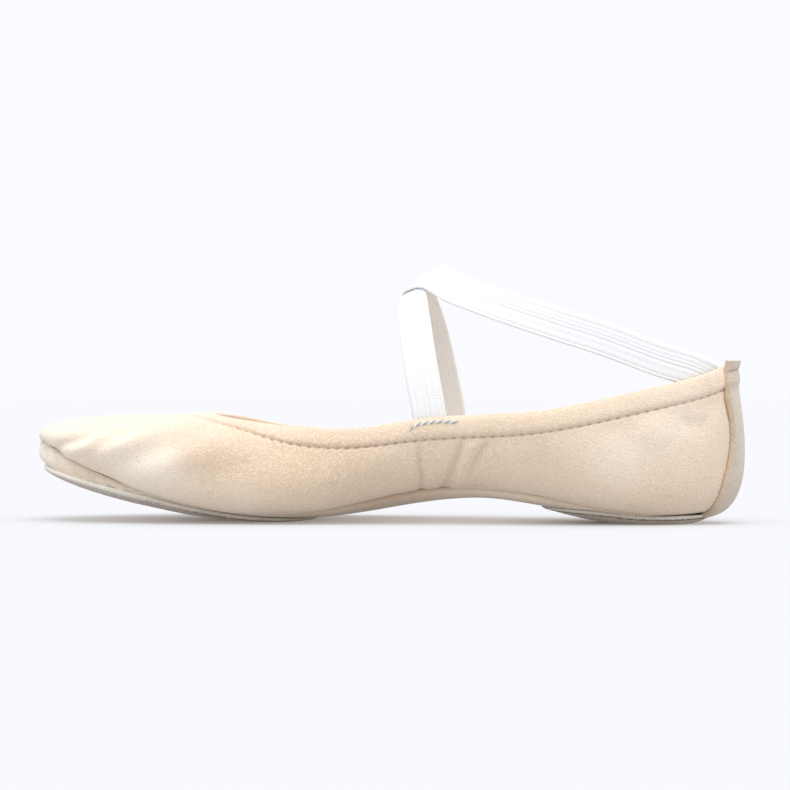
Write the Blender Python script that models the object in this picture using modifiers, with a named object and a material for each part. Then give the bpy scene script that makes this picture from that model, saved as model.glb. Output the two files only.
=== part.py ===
"""Gymnastics slipper for the right foot.

A soft leather upper with a turned hem, closed underneath by a thin panel that turns up round the toe.
Two separate outsole pads carry the forefoot and the heel, and two elastic straps cross over the instep.

Metres. +X runs from toe to heel, +Y to the outer side of the foot and +Z up. The origin lies on the
floor, under the middle of the shoe.
"""

import math
from functools import lru_cache

import bmesh
import bpy
import numpy as np

MM = 0.001
UP = np.array((0.0, 0.0, 1.0))

# Driving sizes
LENGTH = 0.236
BALL_WIDTH = 0.080
HEEL_HEIGHT = 0.0525
TOE_SPRING = 0.0193
ARCH_RISE = 0.0067

# Where the toe starts to lift, and where the arch begins and ends, as shares of the length
TOE_BREAK = 0.40
TOE_POWER = 2.2
ARCH_FRONT = 0.38
ARCH_END = 0.87

# How the panel's ribs fan in to the sole's middle line round the toe and the heel
TOE_FAN = 0.022
HEEL_FAN = 0.019
FAN_LENGTH = 0.025
TURN_UP_LENGTH = 0.0435

# The panel's ribs: how far they run level from the seam, how steeply they drop as a multiple of the
# seam's lift, and how near the seam they lie flat, each along the sides and at the tip of the toe
UNDER_REACH = 0.003
SIDE_DROP = 0.9
TOE_DROP = 1.5
SIDE_LEVEL = 0.36
TOE_LEVEL = 0.2

# Walls and layers
LEATHER = 0.0013
HEM_WIDTH = 0.0075
HEM_RISE = 0.0007
PANEL_THICK = 0.0017
PANEL_INSET = 0.0004
SOLE_STACK = 0.0012
FOREFOOT_THICK = 0.0018
HEEL_THICK = 0.0017
PAD_ROUND = 0.06
PAD_EDGE = 0.6
PAD_MARGIN = 0.1
TOE_MARGIN = 0.28
PAD_TAPER = 0.6
INSOLE_THICK = 0.0012
INSOLE_INSET = 0.03
STAY_THICK = 0.0012
STAY_TAB = 0.0012
GAP = 0.0003

# The pads' edge, in shares of a rib, is tucked in at the ball and reaches out again behind the heel.
# Where each is, and how far it spreads, are shares of the length.
BALL_MARGIN = 0.12
BALL_BACK = 0.40
BALL_LENGTH = 0.10
HEEL_MARGIN = 0.12
HEEL_LENGTH = 0.08

# Width of the heel stay in mm at shares of the way from the foot line to the collar
STAY_SHARES = (0.0, 0.06, 0.13, 0.22, 0.30, 0.42, 0.54, 0.65, 0.80, 0.90, 1.0)
STAY_WIDTHS = (14.0, 18.0, 22.8, 25.0, 25.2, 22.8, 20.2, 19.6, 21.4, 20.6, 17.8)

# The elastic straps, and the instep that they cross over: its height over the collar and its slope
STRAP_WIDTH = 0.011
STRAP_THICK = 0.001
STRAP_GAP = 0.0005
INSTEP_RISE = 0.0465
INSTEP_SLOPE = 0.6
CREST = 0.5425
CROSSING_LIFT = 0.0015

# Mesh steps
RIBS = 80
RIB_SAMPLES = 48
NUDGE = 0.002
RISE_NUDGE = 0.02
MERGE = 0.00001
SIDE_ROWS = (0.0, 0.06, 0.14, 0.24, 0.36, 0.5, 0.64, 0.78, 0.9, 1.0)
HEM_ROWS = ((0.1, 1.0), (0.5, 1.3))
INNER_ROWS = (0.0, 0.15, 0.3, 0.45, 0.6, 0.72, 0.83, 0.92, 1.0)
SPREAD = (0.0, 0.11, 0.27, 0.47, 0.72, 1.0)
PAD_END_STEPS = 8
STAY_COLUMNS = 10
STRAP_STEPS = 3
STRAP_COLUMNS = 3
CROSSING_SPREAD = 50.0

# A strap's route: share of the way from toe to heel along the collar, and angle round the instep
STRAP_ROUTE = (
    (0.523, 100.0),
    (0.520, 90.0),
    (0.500, 65.0),
    (0.483, 38.0),
    (0.474, 14.0),
    (0.483, -3.0),
    (0.508, -17.0),
    (0.549, -37.5),
    (0.596, -49.5),
    (0.650, -59.0),
    (0.720, -68.5),
    (0.790, -76.5),
    (0.860, -84.0),
    (0.915, -88.5),
    (0.945, -91.0),
    (0.965, -92.5),
)

# The ribs of the upper, from the toe round the inner side to the heel and back along the outer side.
# Foot line: back and side as shares of length and ball width, lift over the underside in mm.
# Collar line: back, side and height as shares of length, ball width and heel height.
# Reach in mm: how far the rib leaves the foot line outward and upward, then the collar likewise.
STATIONS = {
    #                     foot line              collar line              reach
    "toe":               (0.000, -0.113, 6.2,    0.251, -0.027, 0.680,    1.5, 8.5, 40.0, 0.5),
    "big toe":           (0.017, -0.273, 7.8,    0.257, -0.133, 0.675,    4.5, 7.5, 36.0, 0.0),
    "big toe side":      (0.070, -0.374, 6.8,    0.280, -0.223, 0.658,    8.0, 6.0, 30.0, -1.5),
    "toe joint":         (0.162, -0.395, 4.1,    0.326, -0.293, 0.632,    10.0, 2.0, 24.0, -6.0),
    "inner ball":        (0.264, -0.378, 2.0,    0.388, -0.341, 0.605,    11.5, -2.5, 14.0, -11.0),
    "inner waist":       (0.386, -0.323, 1.9,    0.470, -0.365, 0.600,    10.0, 0.0, 8.0, -12.0),
    "inner arch":        (0.537, -0.245, 4.4,    0.578, -0.358, 0.665,    7.0, 0.0, 4.0, -10.0),
    "inner shank":       (0.699, -0.228, 3.4,    0.719, -0.328, 0.705,    6.5, 1.0, 4.5, -13.0),
    "inner heel":        (0.850, -0.208, 2.5,    0.868, -0.258, 0.838,    8.0, 1.0, 5.5, -17.0),
    "inner heel corner": (0.922, -0.133, 2.1,    0.951, -0.160, 0.940,    10.0, 1.0, 4.0, -18.0),
    "heel back":         (0.944, 0.017, 2.4,    0.979, 0.017, 1.000,    15.6, 1.0, 3.5, -22.0),
    "outer heel corner": (0.922, 0.173, 2.1,    0.951, 0.202, 0.940,    10.0, 1.0, 4.0, -18.0),
    "outer heel":        (0.850, 0.252, 2.1,    0.868, 0.302, 0.838,    8.0, 1.0, 5.5, -17.0),
    "outer shank":       (0.699, 0.307, 1.0,    0.719, 0.372, 0.705,    6.5, 1.0, 4.5, -13.0),
    "outer arch":        (0.537, 0.362, 0.8,    0.578, 0.405, 0.665,    8.0, 0.0, 5.0, -12.0),
    "outer waist":       (0.386, 0.417, 0.9,    0.470, 0.412, 0.580,    9.0, 0.0, 7.0, -12.0),
    "outer ball":        (0.264, 0.396, 1.0,    0.388, 0.372, 0.580,    10.0, -1.0, 14.0, -11.0),
    "little toe":        (0.154, 0.328, 4.0,    0.326, 0.307, 0.605,    9.0, 3.0, 24.0, -7.0),
    "little toe side":   (0.070, 0.207, 5.8,    0.280, 0.222, 0.648,    7.0, 6.5, 30.0, -3.0),
    "outer toe":         (0.017, 0.057, 6.3,    0.257, 0.098, 0.672,    4.5, 8.5, 36.0, -0.5),
}
HEEL_STATION = list(STATIONS).index("heel back")


def place(back, side, up):
    """A point from its distance behind the toe, its side and its height."""
    return np.array((back - LENGTH / 2, side, up))


def underside(back):
    """Height of the panel's underside along the middle of the foot."""
    share = back / LENGTH
    toe = max(0.0, 1 - share / TOE_BREAK) ** TOE_POWER
    arch = min(max((share - ARCH_FRONT) / (ARCH_END - ARCH_FRONT), 0.0), 1.0)
    return SOLE_STACK + TOE_SPRING * toe + ARCH_RISE * math.sin(math.pi * arch) ** 2


class ClosedCurve:
    """A smooth closed curve through rows of values, each at its own turn from 0 to 1."""

    def __init__(self, turns, rows):
        self.turns = np.append(turns, 1.0)
        self.rows = np.vstack((rows, rows[:1]))
        steps = np.diff(self.turns)
        slopes = np.diff(self.rows, axis=0) / steps[:, None]
        count = len(turns)
        matrix = np.zeros((count, count))
        for k in range(count):
            matrix[k, k - 1] += steps[k - 1]
            matrix[k, k] += 2 * (steps[k - 1] + steps[k])
            matrix[k, (k + 1) % count] += steps[k]
        bends = np.linalg.solve(matrix, 6 * (slopes - np.roll(slopes, 1, axis=0)))
        self.bends = np.vstack((bends, bends[:1]))

    def at(self, turn):
        turn = turn % 1.0
        k = int(np.searchsorted(self.turns, turn, side="right")) - 1
        step = self.turns[k + 1] - self.turns[k]
        b = (turn - self.turns[k]) / step
        a = 1 - b
        bend = (a**3 - a) * self.bends[k] + (b**3 - b) * self.bends[k + 1]
        return a * self.rows[k] + b * self.rows[k + 1] + bend * step**2 / 6


def station_rows():
    """Each station as foot point, collar point and reach, in metres."""
    rows = []
    for foot_back, foot_side, lift, back, side, up, *reach in STATIONS.values():
        foot = place(
            foot_back * LENGTH, foot_side * BALL_WIDTH, underside(foot_back * LENGTH) + lift * MM
        )
        collar = place(back * LENGTH, side * BALL_WIDTH, up * HEEL_HEIGHT)
        rows.append(np.concatenate((foot, collar, np.array(reach) * MM)))
    return np.array(rows)


def station_turns(rows):
    """Turn of each station: 0 at the toe, 0.5 at the heel, and even along each side between."""
    middles = (rows[:, :3] + rows[:, 3:6]) / 2
    steps = np.linalg.norm(np.roll(middles, -1, axis=0) - middles, axis=1)
    inner = np.cumsum(steps[:HEEL_STATION])
    outer = np.cumsum(steps[HEEL_STATION:])
    return np.concatenate(((0.0,), inner / inner[-1] / 2, 0.5 + outer[:-1] / outer[-1] / 2))


ROWS = station_rows()
LAST = ClosedCurve(station_turns(ROWS), ROWS)


def outward(turn, first):
    """Level direction out of the shoe, square to the foot line (first 0) or the collar line (first 3)."""
    along = LAST.at(turn + NUDGE)[first:first + 2] - LAST.at(turn - NUDGE)[first:first + 2]
    out = np.array((along[1], -along[0], 0.0))
    return out / np.linalg.norm(out)


@lru_cache(maxsize=None)
def rib(turn):
    """Points along one rib of the upper's outer face, from foot line to collar, and their reaches."""
    row = LAST.at(turn)
    foot, collar = row[:3], row[3:6]
    low_out, low_up, high_out, high_up = row[6:]
    low = foot + low_out * outward(turn, 0) + low_up * UP
    high = collar + high_out * outward(turn, 3) + high_up * UP
    t = np.linspace(0, 1, RIB_SAMPLES)[:, None]
    points = (1 - t)**3 * foot + 3 * (1 - t)**2 * t * low + 3 * (1 - t) * t**2 * high + t**3 * collar
    reaches = np.concatenate(((0.0,), np.cumsum(np.linalg.norm(np.diff(points, axis=0), axis=1))))
    return points, reaches


def rib_length(turn):
    return rib(turn)[1][-1]


def skin(turn, share):
    """A point on the upper's outer face; share runs from 0 at the foot line to 1 at the collar."""
    points, reaches = rib(turn)
    reach = share * reaches[-1]
    inside = np.array([np.interp(reach, reaches, points[:, axis]) for axis in range(3)])
    past = reach - min(max(reach, 0.0), reaches[-1])
    end = points[-1] - points[-2] if past > 0 else points[1] - points[0]
    return inside + past * end / np.linalg.norm(end)


def skin_normal(turn, share):
    along = skin(turn + NUDGE, share) - skin(turn - NUDGE, share)
    upward = skin(turn, share + RISE_NUDGE) - skin(turn, share - RISE_NUDGE)
    normal = np.cross(along, upward)
    return normal / np.linalg.norm(normal)


def wall(turn, share, depth):
    """A point of the upper's wall, at a depth under its outer face."""
    return skin(turn, share) - depth * skin_normal(turn, share)


def face_rows(turn):
    """Rows of the outer face as share and depth: up to the hem, then over the hem's raised band."""
    hem = 1 - HEM_WIDTH / rib_length(turn)
    rows = [(hem * share, 0.0) for share in SIDE_ROWS]
    rows += [(hem + share * (1 - hem), -HEM_RISE * rise) for share, rise in HEM_ROWS]
    return rows


def upper_section(turn):
    """The wall's closed section at one rib: outer face, hem, rounded rim and inner face."""
    length = rib_length(turn)
    half = (LEATHER + HEM_RISE) / 2
    rim = 1 - half / length
    top = [
        (rim + half * math.sin(angle) / length, LEATHER - half - half * math.cos(angle))
        for angle in (0, math.pi / 4, math.pi / 2, 3 * math.pi / 4)
    ]
    inner = [(rim * (1 - share), LEATHER) for share in INNER_ROWS]
    return [wall(turn, share, depth) for share, depth in face_rows(turn) + top + inner]


def toe_share(turn):
    """1 at the tip of the toe, falling to 0 where the panel is no longer turned up."""
    behind = LAST.at(turn)[0] + LENGTH / 2
    return max(0.0, 1 - behind / TURN_UP_LENGTH)


@lru_cache(maxsize=None)
def under_rib(turn):
    """Four control points of the rib that carries on under the foot, from the seam to the middle line."""
    here = LAST.at(turn)
    across = LAST.at(1.0 - turn)
    foot = here[:3]
    out = outward(turn, 0)
    lift = foot[2] - underside(foot[0] + LENGTH / 2)
    toe = toe_share(turn)
    drop = (SIDE_DROP * lift + PANEL_INSET) * (1 - toe) + TOE_DROP * lift * toe
    run = -UNDER_REACH * (1 - toe) * out - drop * UP
    heading = run / np.linalg.norm(run)
    facing = heading @ out * UP - heading @ UP * out
    start = foot + GAP * heading - PANEL_INSET * facing
    back = (here[0] + across[0] + LENGTH) / 2
    heel = LAST.at(0.5)[0] + LENGTH / 2
    back += TOE_FAN * math.exp(-back / FAN_LENGTH) - HEEL_FAN * math.exp((back - heel) / FAN_LENGTH)
    middle = place(back, (here[1] + across[1]) / 2, underside(back))
    level = start + (SIDE_LEVEL * (1 - toe) + TOE_LEVEL * toe) * (middle - start)
    level[2] = underside(level[0] + LENGTH / 2)
    return start, start + run, level, middle


def under(turn, share):
    """A point on the panel's underside; share runs from 0 at the seam to 1 on the middle line."""
    start, low, level, middle = under_rib(turn)
    t = share
    return (1 - t)**3 * start + 3 * (1 - t)**2 * t * low + 3 * (1 - t) * t**2 * level + t**3 * middle


def under_normal(turn, share):
    """Upward normal of the panel's underside; on the middle line it follows that line alone."""
    if share > 1 - NUDGE:
        back = under(turn, 1.0)[0] + LENGTH / 2
        rise = underside(back + NUDGE) - underside(back - NUDGE)
        normal = np.array((-rise, 0.0, 2 * NUDGE))
    else:
        along = under(turn + NUDGE, share) - under(turn - NUDGE, share)
        inward = under(turn, share + NUDGE) - under(turn, max(share - NUDGE, 0.0))
        normal = np.cross(along, inward)
    return normal / np.linalg.norm(normal)


def above(turn, share, height):
    """A point at a height over the panel's underside, square to it."""
    return under(turn, share) + height * under_normal(turn, share)


def sheet(name, grid, wrap_columns=True, wrap_rows=False):
    """A mesh from a grid of points, with its seams and poles merged."""
    columns = len(grid) if wrap_columns else len(grid) - 1
    rows = len(grid[0]) if wrap_rows else len(grid[0]) - 1
    bm = bmesh.new()
    bmesh.ops.create_grid(bm, x_segments=columns, y_segments=rows, size=1.0)
    for vertex in bm.verts:
        i = round((vertex.co.x + 1) / 2 * columns) % len(grid)
        j = round((vertex.co.y + 1) / 2 * rows) % len(grid[0])
        vertex.co = grid[i][j]
    bmesh.ops.remove_doubles(bm, verts=bm.verts, dist=MERGE)
    bmesh.ops.dissolve_degenerate(bm, edges=bm.edges, dist=MERGE)
    bmesh.ops.recalc_face_normals(bm, faces=bm.faces)
    mesh = bpy.data.meshes.new(name)
    bm.to_mesh(mesh)
    bm.free()
    mesh.shade_smooth()
    return mesh


def add_part(name, mesh, colour, roughness):
    """An object with its own material, in the shoe's collection."""
    material = bpy.data.materials.new(name)
    material.use_nodes = True
    shader = material.node_tree.nodes["Principled BSDF"]
    shader.inputs["Base Color"].default_value = (*colour, 1.0)
    shader.inputs["Roughness"].default_value = roughness
    shader.inputs["Metallic"].default_value = 0.0
    material.diffuse_color = (*colour, 1.0)
    mesh.materials.append(material)
    part = bpy.data.objects.new(name, mesh)
    SHOE.objects.link(part)
    return part


def thicken(part, thickness, offset):
    """Give an open surface a thickness, outward of it (offset 1), inward (-1) or both ways (0)."""
    shell = part.modifiers.new("thickness", "SOLIDIFY")
    shell.thickness = thickness
    shell.offset = offset


def build_upper():
    sections = [upper_section(k / RIBS) for k in range(RIBS)]
    add_part("upper", sheet("upper", sections, wrap_rows=True), (0.80, 0.60, 0.42), 0.85)


def under_rows(turn):
    """Rows of the panel's and insole's meshes from near the seam to the middle line."""
    margin = PAD_MARGIN + TOE_MARGIN * toe_share(turn)
    return [margin + (1 - margin) * row for row in SPREAD]


def pad_rows(turn):
    """Rows of the pads' meshes, from their edge to the middle line."""
    back = LAST.at(turn)[0] / LENGTH + 0.5
    tuck = BALL_MARGIN * math.exp(-((back - BALL_BACK) / BALL_LENGTH) ** 2)
    tuck -= HEEL_MARGIN * math.exp(-((1 - back) / HEEL_LENGTH) ** 2)
    return [row + tuck * (1 - row) for row in under_rows(turn)]


def build_panel():
    sections = []
    for k in range(RIBS):
        turn = k / RIBS
        inward = under_rows(turn)
        rows = [0.0, inward[0] / 2] + inward
        outer = [under(turn, row) for row in reversed(rows)]
        inner = [above(turn, row, PANEL_THICK) for row in rows]
        sections.append(outer + inner)
    add_part("bottom_panel", sheet("bottom_panel", sections), (0.72, 0.56, 0.41), 0.85)


def build_insole():
    low = PANEL_THICK + GAP
    sections = []
    for k in range(RIBS):
        turn = k / RIBS
        rows = [row + INSOLE_INSET * (1 - row) for row in under_rows(turn)]
        bottom = [above(turn, row, low) for row in reversed(rows)]
        top = [above(turn, row, low + INSOLE_THICK) for row in rows]
        sections.append(bottom + top)
    add_part("insole", sheet("insole", sections), (0.75, 0.66, 0.52), 0.9)


def pad_section(turn, closing, pad_thick):
    """Half a section of an outsole pad, from the middle line out to its edge and back along the ground.

    closing runs from 0 where the pad has its full width to 1 where its edge meets the middle line.
    """
    narrow = math.sqrt(1 - closing**2)
    shares = [1 - narrow * (1 - row) for row in pad_rows(turn)]
    thick = pad_thick * (1 - PAD_TAPER * closing**2)
    top = [(share, GAP) for share in reversed(shares)]
    rim = [(shares[0], GAP + PAD_EDGE * thick), (shares[0] + PAD_ROUND * narrow, GAP + thick)]
    low = [(share, GAP + thick) for share in shares[1:]]
    points = [above(turn, share, -depth) for share, depth in top + rim + low]
    for point in points:
        point[2] = max(point[2], 0.0)
    return points


def build_pad(name, middle, full, end, thick, colour):
    """A pad centred on one turn: as wide as the sole for a number of ribs, then closed in a round end."""
    halves = [(k / RIBS, 0.0) for k in range(full + 1)]
    for step in range(1, PAD_END_STEPS + 1):
        closing = math.sin(math.pi / 2 * step / PAD_END_STEPS)
        halves.append(((full + (end - full) * closing) / RIBS, closing))
    sections = [pad_section(middle - offset, closing, thick) for offset, closing in reversed(halves[1:])]
    sections += [pad_section(middle + offset, closing, thick) for offset, closing in halves]
    add_part(name, sheet(name, sections, wrap_columns=False), colour, 0.75)


def beside_heel(aside, share):
    """Turn of the point at a distance beside the middle of the heel, at one height."""
    pace = np.linalg.norm(skin(0.5 + NUDGE, share) - skin(0.5 - NUDGE, share)) / (2 * NUDGE)
    return 0.5 + aside / pace


def build_stay():
    """The strip over the back seam, from the sole to just above the collar."""
    grid = []
    for column in range(STAY_COLUMNS + 1):
        across = column / STAY_COLUMNS - 0.5
        rows = face_rows(0.5)[1:]
        rows += [(1.0, -HEM_RISE), (1 + STAY_TAB / rib_length(0.5), -HEM_RISE)]
        line = []
        for share, depth in rows:
            aside = across * np.interp(share, STAY_SHARES, STAY_WIDTHS) * MM
            line.append(wall(beside_heel(aside, share), share, depth - GAP))
        grid.append(line)
    stay = add_part("heel_stay", sheet("heel_stay", grid, wrap_columns=False), (0.66, 0.55, 0.44), 0.85)
    thicken(stay, STAY_THICK, 1)


def strap_surface(along, angle):
    """Where the straps lie: over the instep up to 90 degrees each side, then down inside the collar.

    along runs from 0 at the toe to 1 at the heel; angle is in degrees, minus on the inner side.
    """
    depth = LEATHER + STRAP_GAP + STRAP_THICK / 2
    inner = wall(along / 2, 1.0, depth)
    outer = wall(1 - along / 2, 1.0, depth)
    centre = (inner + outer) / 2
    rise = INSTEP_RISE + INSTEP_SLOPE * (centre - place(CREST * LENGTH, 0, 0))[0]
    if abs(angle) > 90:
        turn = along / 2 if angle < 0 else 1 - along / 2
        drop = rise * math.radians(abs(angle) - 90)
        return wall(turn, 1 - drop / rib_length(turn), depth)
    side = math.sin(math.radians(angle))
    return centre + side * (outer - inner) / 2 + rise * math.cos(math.radians(angle)) * UP


def curve_through(points, steps):
    """Points along a Catmull-Rom curve, with steps between each pair."""
    points = np.array(points)
    ends = np.vstack((2 * points[0] - points[1], points, 2 * points[-1] - points[-2]))
    curve = []
    for k in range(1, len(ends) - 2):
        before, start, end, after = ends[k - 1:k + 3]
        for step in range(steps):
            t = step / steps
            bend = (end - before) * t
            bend += (2 * before - 5 * start + 4 * end - after) * t**2
            bend += (3 * start - before - 3 * end + after) * t**3
            curve.append(start + bend / 2)
    curve.append(points[-1])
    return curve


def build_strap(name, side, lift):
    """A flat elastic on the strap surface. side 1 starts inside the outer waist, -1 inside the inner."""
    route = [(along, side * angle) for along, angle in STRAP_ROUTE]
    curve = curve_through(route, STRAP_STEPS)
    grid = []
    for k, (along, angle) in enumerate(curve):
        before = strap_surface(*curve[max(k - 1, 0)])
        after = strap_surface(*curve[min(k + 1, len(curve) - 1)])
        heading = after - before
        heading /= np.linalg.norm(heading)
        by_along = (strap_surface(along + NUDGE, angle) - strap_surface(along - NUDGE, angle)) / (2 * NUDGE)
        by_angle = strap_surface(along, angle + 0.5) - strap_surface(along, angle - 0.5)
        face = np.cross(by_along, by_angle)
        face /= np.linalg.norm(face)
        across = np.cross(face, heading)
        steps = np.column_stack((by_along, by_angle))
        shift = np.linalg.lstsq(steps, across, rcond=None)[0]
        height = lift * math.exp(-((angle / CROSSING_SPREAD) ** 4))
        row = []
        for column in range(STRAP_COLUMNS + 1):
            width = STRAP_WIDTH * (column / STRAP_COLUMNS - 0.5)
            row.append(strap_surface(along + width * shift[0], angle + width * shift[1]) + height * face)
        grid.append(row)
    strap = add_part(name, sheet(name, grid, wrap_columns=False), (0.92, 0.92, 0.93), 0.6)
    thicken(strap, STRAP_THICK, 0)


for old in list(bpy.data.objects):
    bpy.data.objects.remove(old, do_unlink=True)
SHOE = bpy.data.collections.new("gymnastics_slipper")
bpy.context.scene.collection.children.link(SHOE)

build_upper()
build_panel()
build_insole()
build_pad("outsole_forefoot", 0.0, 11, 15.6, FOREFOOT_THICK, (0.55, 0.50, 0.43))
build_pad("outsole_heel", 0.5, 7, 11.4, HEEL_THICK, (0.42, 0.36, 0.28))
build_stay()
build_strap("strap_under", -1, 0.0)
build_strap("strap_over", 1, CROSSING_LIFT)
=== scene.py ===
# Right-foot gymnastics slipper: brushed leather upper, split outsole and crossed elastic straps.
# Metres, +X from toe to heel, +Y to the outer side of the foot, +Z up, floor at z = 0.
import math

import bmesh
import bpy
import numpy as np
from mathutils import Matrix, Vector, noise


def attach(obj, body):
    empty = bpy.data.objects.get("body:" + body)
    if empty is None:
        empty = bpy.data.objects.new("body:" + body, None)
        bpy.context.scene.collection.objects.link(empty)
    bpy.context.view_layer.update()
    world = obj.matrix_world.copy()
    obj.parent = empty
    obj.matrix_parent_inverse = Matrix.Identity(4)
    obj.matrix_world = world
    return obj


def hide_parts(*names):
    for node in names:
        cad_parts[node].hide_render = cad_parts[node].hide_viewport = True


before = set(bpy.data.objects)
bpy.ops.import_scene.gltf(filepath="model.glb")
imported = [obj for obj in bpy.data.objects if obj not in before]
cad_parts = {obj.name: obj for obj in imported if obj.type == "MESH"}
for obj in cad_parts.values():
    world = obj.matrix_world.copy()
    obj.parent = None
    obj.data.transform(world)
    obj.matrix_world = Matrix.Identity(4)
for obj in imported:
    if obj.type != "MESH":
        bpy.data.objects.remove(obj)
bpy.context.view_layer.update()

mm = 0.001
up = np.array((0.0, 0.0, 1.0))
weld = 0.00001  # vertices that are closer than this become one
sheenSpread = 0.6  # roughness of the sheen

camera = {
    "turn": 10.0,  # degrees round the shoe, towards the heel
    "distance": 0.8985,
    "height": 0.0421,
    "aside": 0.00164,
    "lens": 122.3,
    "sensor": 36.0,
}

light = {
    "room": (0.956, 0.965, 1.0),
    "sunPower": 2.6,
    "sunSoftness": 50.0,  # degrees across
    "sunFront": 14.0,  # degrees from straight above, towards the front
    "sunToe": -3.0,  # and towards the toe
    "floor": (0.275, 0.298, 0.332),
    "floorSurface": (1.0, 0.0, 0.0),  # roughness, specular and sheen
    "floorGlow": (0.46, 0.428, 0.403),  # light that comes up through the paper
    "paintedShadowGlow": (0.06, 0.035, 0.015),  # painted shadow: less of the glow where the shoe stands
    "ballPaintedShadow": (-0.050, 0.0, 0.080, 0.080),  # where the painted shadows lie: x, y and the reach each way
    "heelPaintedShadow": (0.072, 0.0, 0.055, 0.055),
    "floorSize": 30.0,
}

# The shape of the foot that every piece lies on. Lengths in metres, shares of length unless noted.
last = {
    "length": 0.236,
    "ballWidth": 0.080,
    "heelHeight": 0.0525,
    "toeSpring": 0.0193,  # how high the toe turns up, from the break on, to this power
    "toeBreak": 0.40,
    "toePower": 2.2,
    "archRise": 0.0067,
    "archFront": 0.38,
    "archEnd": 0.87,
    "stack": 0.0012,  # height of the panel over the floor
    "toeFan": 0.022,  # how far the panel's ribs fan out at both ends, fading over a length
    "heelFan": 0.019,
    "fanLength": 0.025,
    "turnUpLength": 0.0435,  # the panel is turned up round the toe over this
    "underReach": 0.003,
    "sideDrop": 0.9,  # how steeply the panel leaves the seam, and where it is level
    "toeDrop": 1.5,
    "sideLevel": 0.36,
    "toeLevel": 0.2,
    "panelInset": 0.0004,
    "gap": 0.0003,  # between the upper's and the panel's edges
    "samples": 200,
    "nudge": 0.002,
    "skinTurns": 1200,
    "skinRows": 260,
    "skinReach": (-0.04, 1.06),
}

# Ribs of the upper, from the toe round the inner side to the heel and back along the outer side:
# foot line back, side (shares of length and ball width) and lift (mm); collar line back, side and
# height (shares of length, ball width and heel height); then how far the rib leaves each end (mm).
stations = {
    "toe": (0.000, -0.113, 6.2, 0.251, -0.027, 0.680, 1.5, 8.5, 40.0, 0.5),
    "bigToe": (0.017, -0.273, 7.8, 0.257, -0.133, 0.675, 4.5, 7.5, 36.0, 0.0),
    "bigToeSide": (0.070, -0.374, 6.8, 0.280, -0.223, 0.658, 8.0, 6.0, 30.0, -1.5),
    "toeJoint": (0.162, -0.395, 4.1, 0.326, -0.293, 0.632, 10.0, 2.0, 24.0, -6.0),
    "innerBall": (0.264, -0.378, 2.0, 0.388, -0.341, 0.605, 11.5, -2.5, 14.0, -11.0),
    "innerWaist": (0.386, -0.323, 1.9, 0.470, -0.365, 0.600, 10.0, 0.0, 8.0, -12.0),
    "innerArch": (0.537, -0.245, 4.4, 0.578, -0.358, 0.665, 7.0, 0.0, 4.0, -10.0),
    "innerShank": (0.699, -0.228, 3.4, 0.719, -0.328, 0.705, 6.5, 1.0, 4.5, -13.0),
    "innerHeel": (0.850, -0.208, 2.5, 0.868, -0.258, 0.838, 8.0, 1.0, 5.5, -17.0),
    "innerHeelCorner": (0.922, -0.133, 2.1, 0.951, -0.160, 0.940, 10.0, 1.0, 4.0, -18.0),
    "heelBack": (0.944, 0.017, 2.4, 0.979, 0.017, 1.000, 15.6, 1.0, 3.5, -22.0),
    "outerHeelCorner": (0.922, 0.173, 2.1, 0.951, 0.202, 0.940, 10.0, 1.0, 4.0, -18.0),
    "outerHeel": (0.850, 0.252, 2.1, 0.868, 0.302, 0.838, 8.0, 1.0, 5.5, -17.0),
    "outerShank": (0.699, 0.307, 1.0, 0.719, 0.372, 0.705, 6.5, 1.0, 4.5, -13.0),
    "outerArch": (0.537, 0.362, 0.8, 0.578, 0.405, 0.665, 8.0, 0.0, 5.0, -12.0),
    "outerWaist": (0.386, 0.417, 0.9, 0.470, 0.412, 0.580, 9.0, 0.0, 7.0, -12.0),
    "outerBall": (0.264, 0.396, 1.0, 0.388, 0.372, 0.580, 10.0, -1.0, 14.0, -11.0),
    "littleToe": (0.154, 0.328, 4.0, 0.326, 0.307, 0.605, 9.0, 3.0, 24.0, -7.0),
    "littleToeSide": (0.070, 0.207, 5.8, 0.280, 0.222, 0.648, 7.0, 6.5, 30.0, -3.0),
    "outerToe": (0.017, 0.057, 6.3, 0.257, 0.098, 0.672, 4.5, 8.5, 36.0, -0.5),
}
heelStation = list(stations).index("heelBack")


def place(back, side, height):
    return np.array((back - last["length"] / 2, side, height))


def underside(back):
    share = np.asarray(back) / last["length"]
    toe = np.maximum(0.0, 1 - share / last["toeBreak"]) ** last["toePower"]
    arch = np.clip((share - last["archFront"]) / (last["archEnd"] - last["archFront"]), 0.0, 1.0)
    return last["stack"] + last["toeSpring"] * toe + last["archRise"] * np.sin(math.pi * arch) ** 2


class ClosedCurve:
    # smooth closed curve through rows of values, each at its own turn from 0 to 1
    def __init__(self, turns, rows):
        self.turns = np.append(turns, 1.0)
        self.rows = np.vstack((rows, rows[:1]))
        steps = np.diff(self.turns)
        slopes = np.diff(self.rows, axis=0) / steps[:, None]
        count = len(turns)
        matrix = np.zeros((count, count))
        for k in range(count):
            matrix[k, k - 1] += steps[k - 1]
            matrix[k, k] += 2 * (steps[k - 1] + steps[k])
            matrix[k, (k + 1) % count] += steps[k]
        bends = np.linalg.solve(matrix, 6 * (slopes - np.roll(slopes, 1, axis=0)))
        self.bends = np.vstack((bends, bends[:1]))

    def at(self, turns):
        turns = np.atleast_1d(turns) % 1.0
        k = np.searchsorted(self.turns, turns, side="right") - 1
        step = (self.turns[k + 1] - self.turns[k])[:, None]
        b = (turns - self.turns[k])[:, None] / step
        a = 1 - b
        bend = (a**3 - a) * self.bends[k] + (b**3 - b) * self.bends[k + 1]
        return a * self.rows[k] + b * self.rows[k + 1] + bend * step**2 / 6


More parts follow.
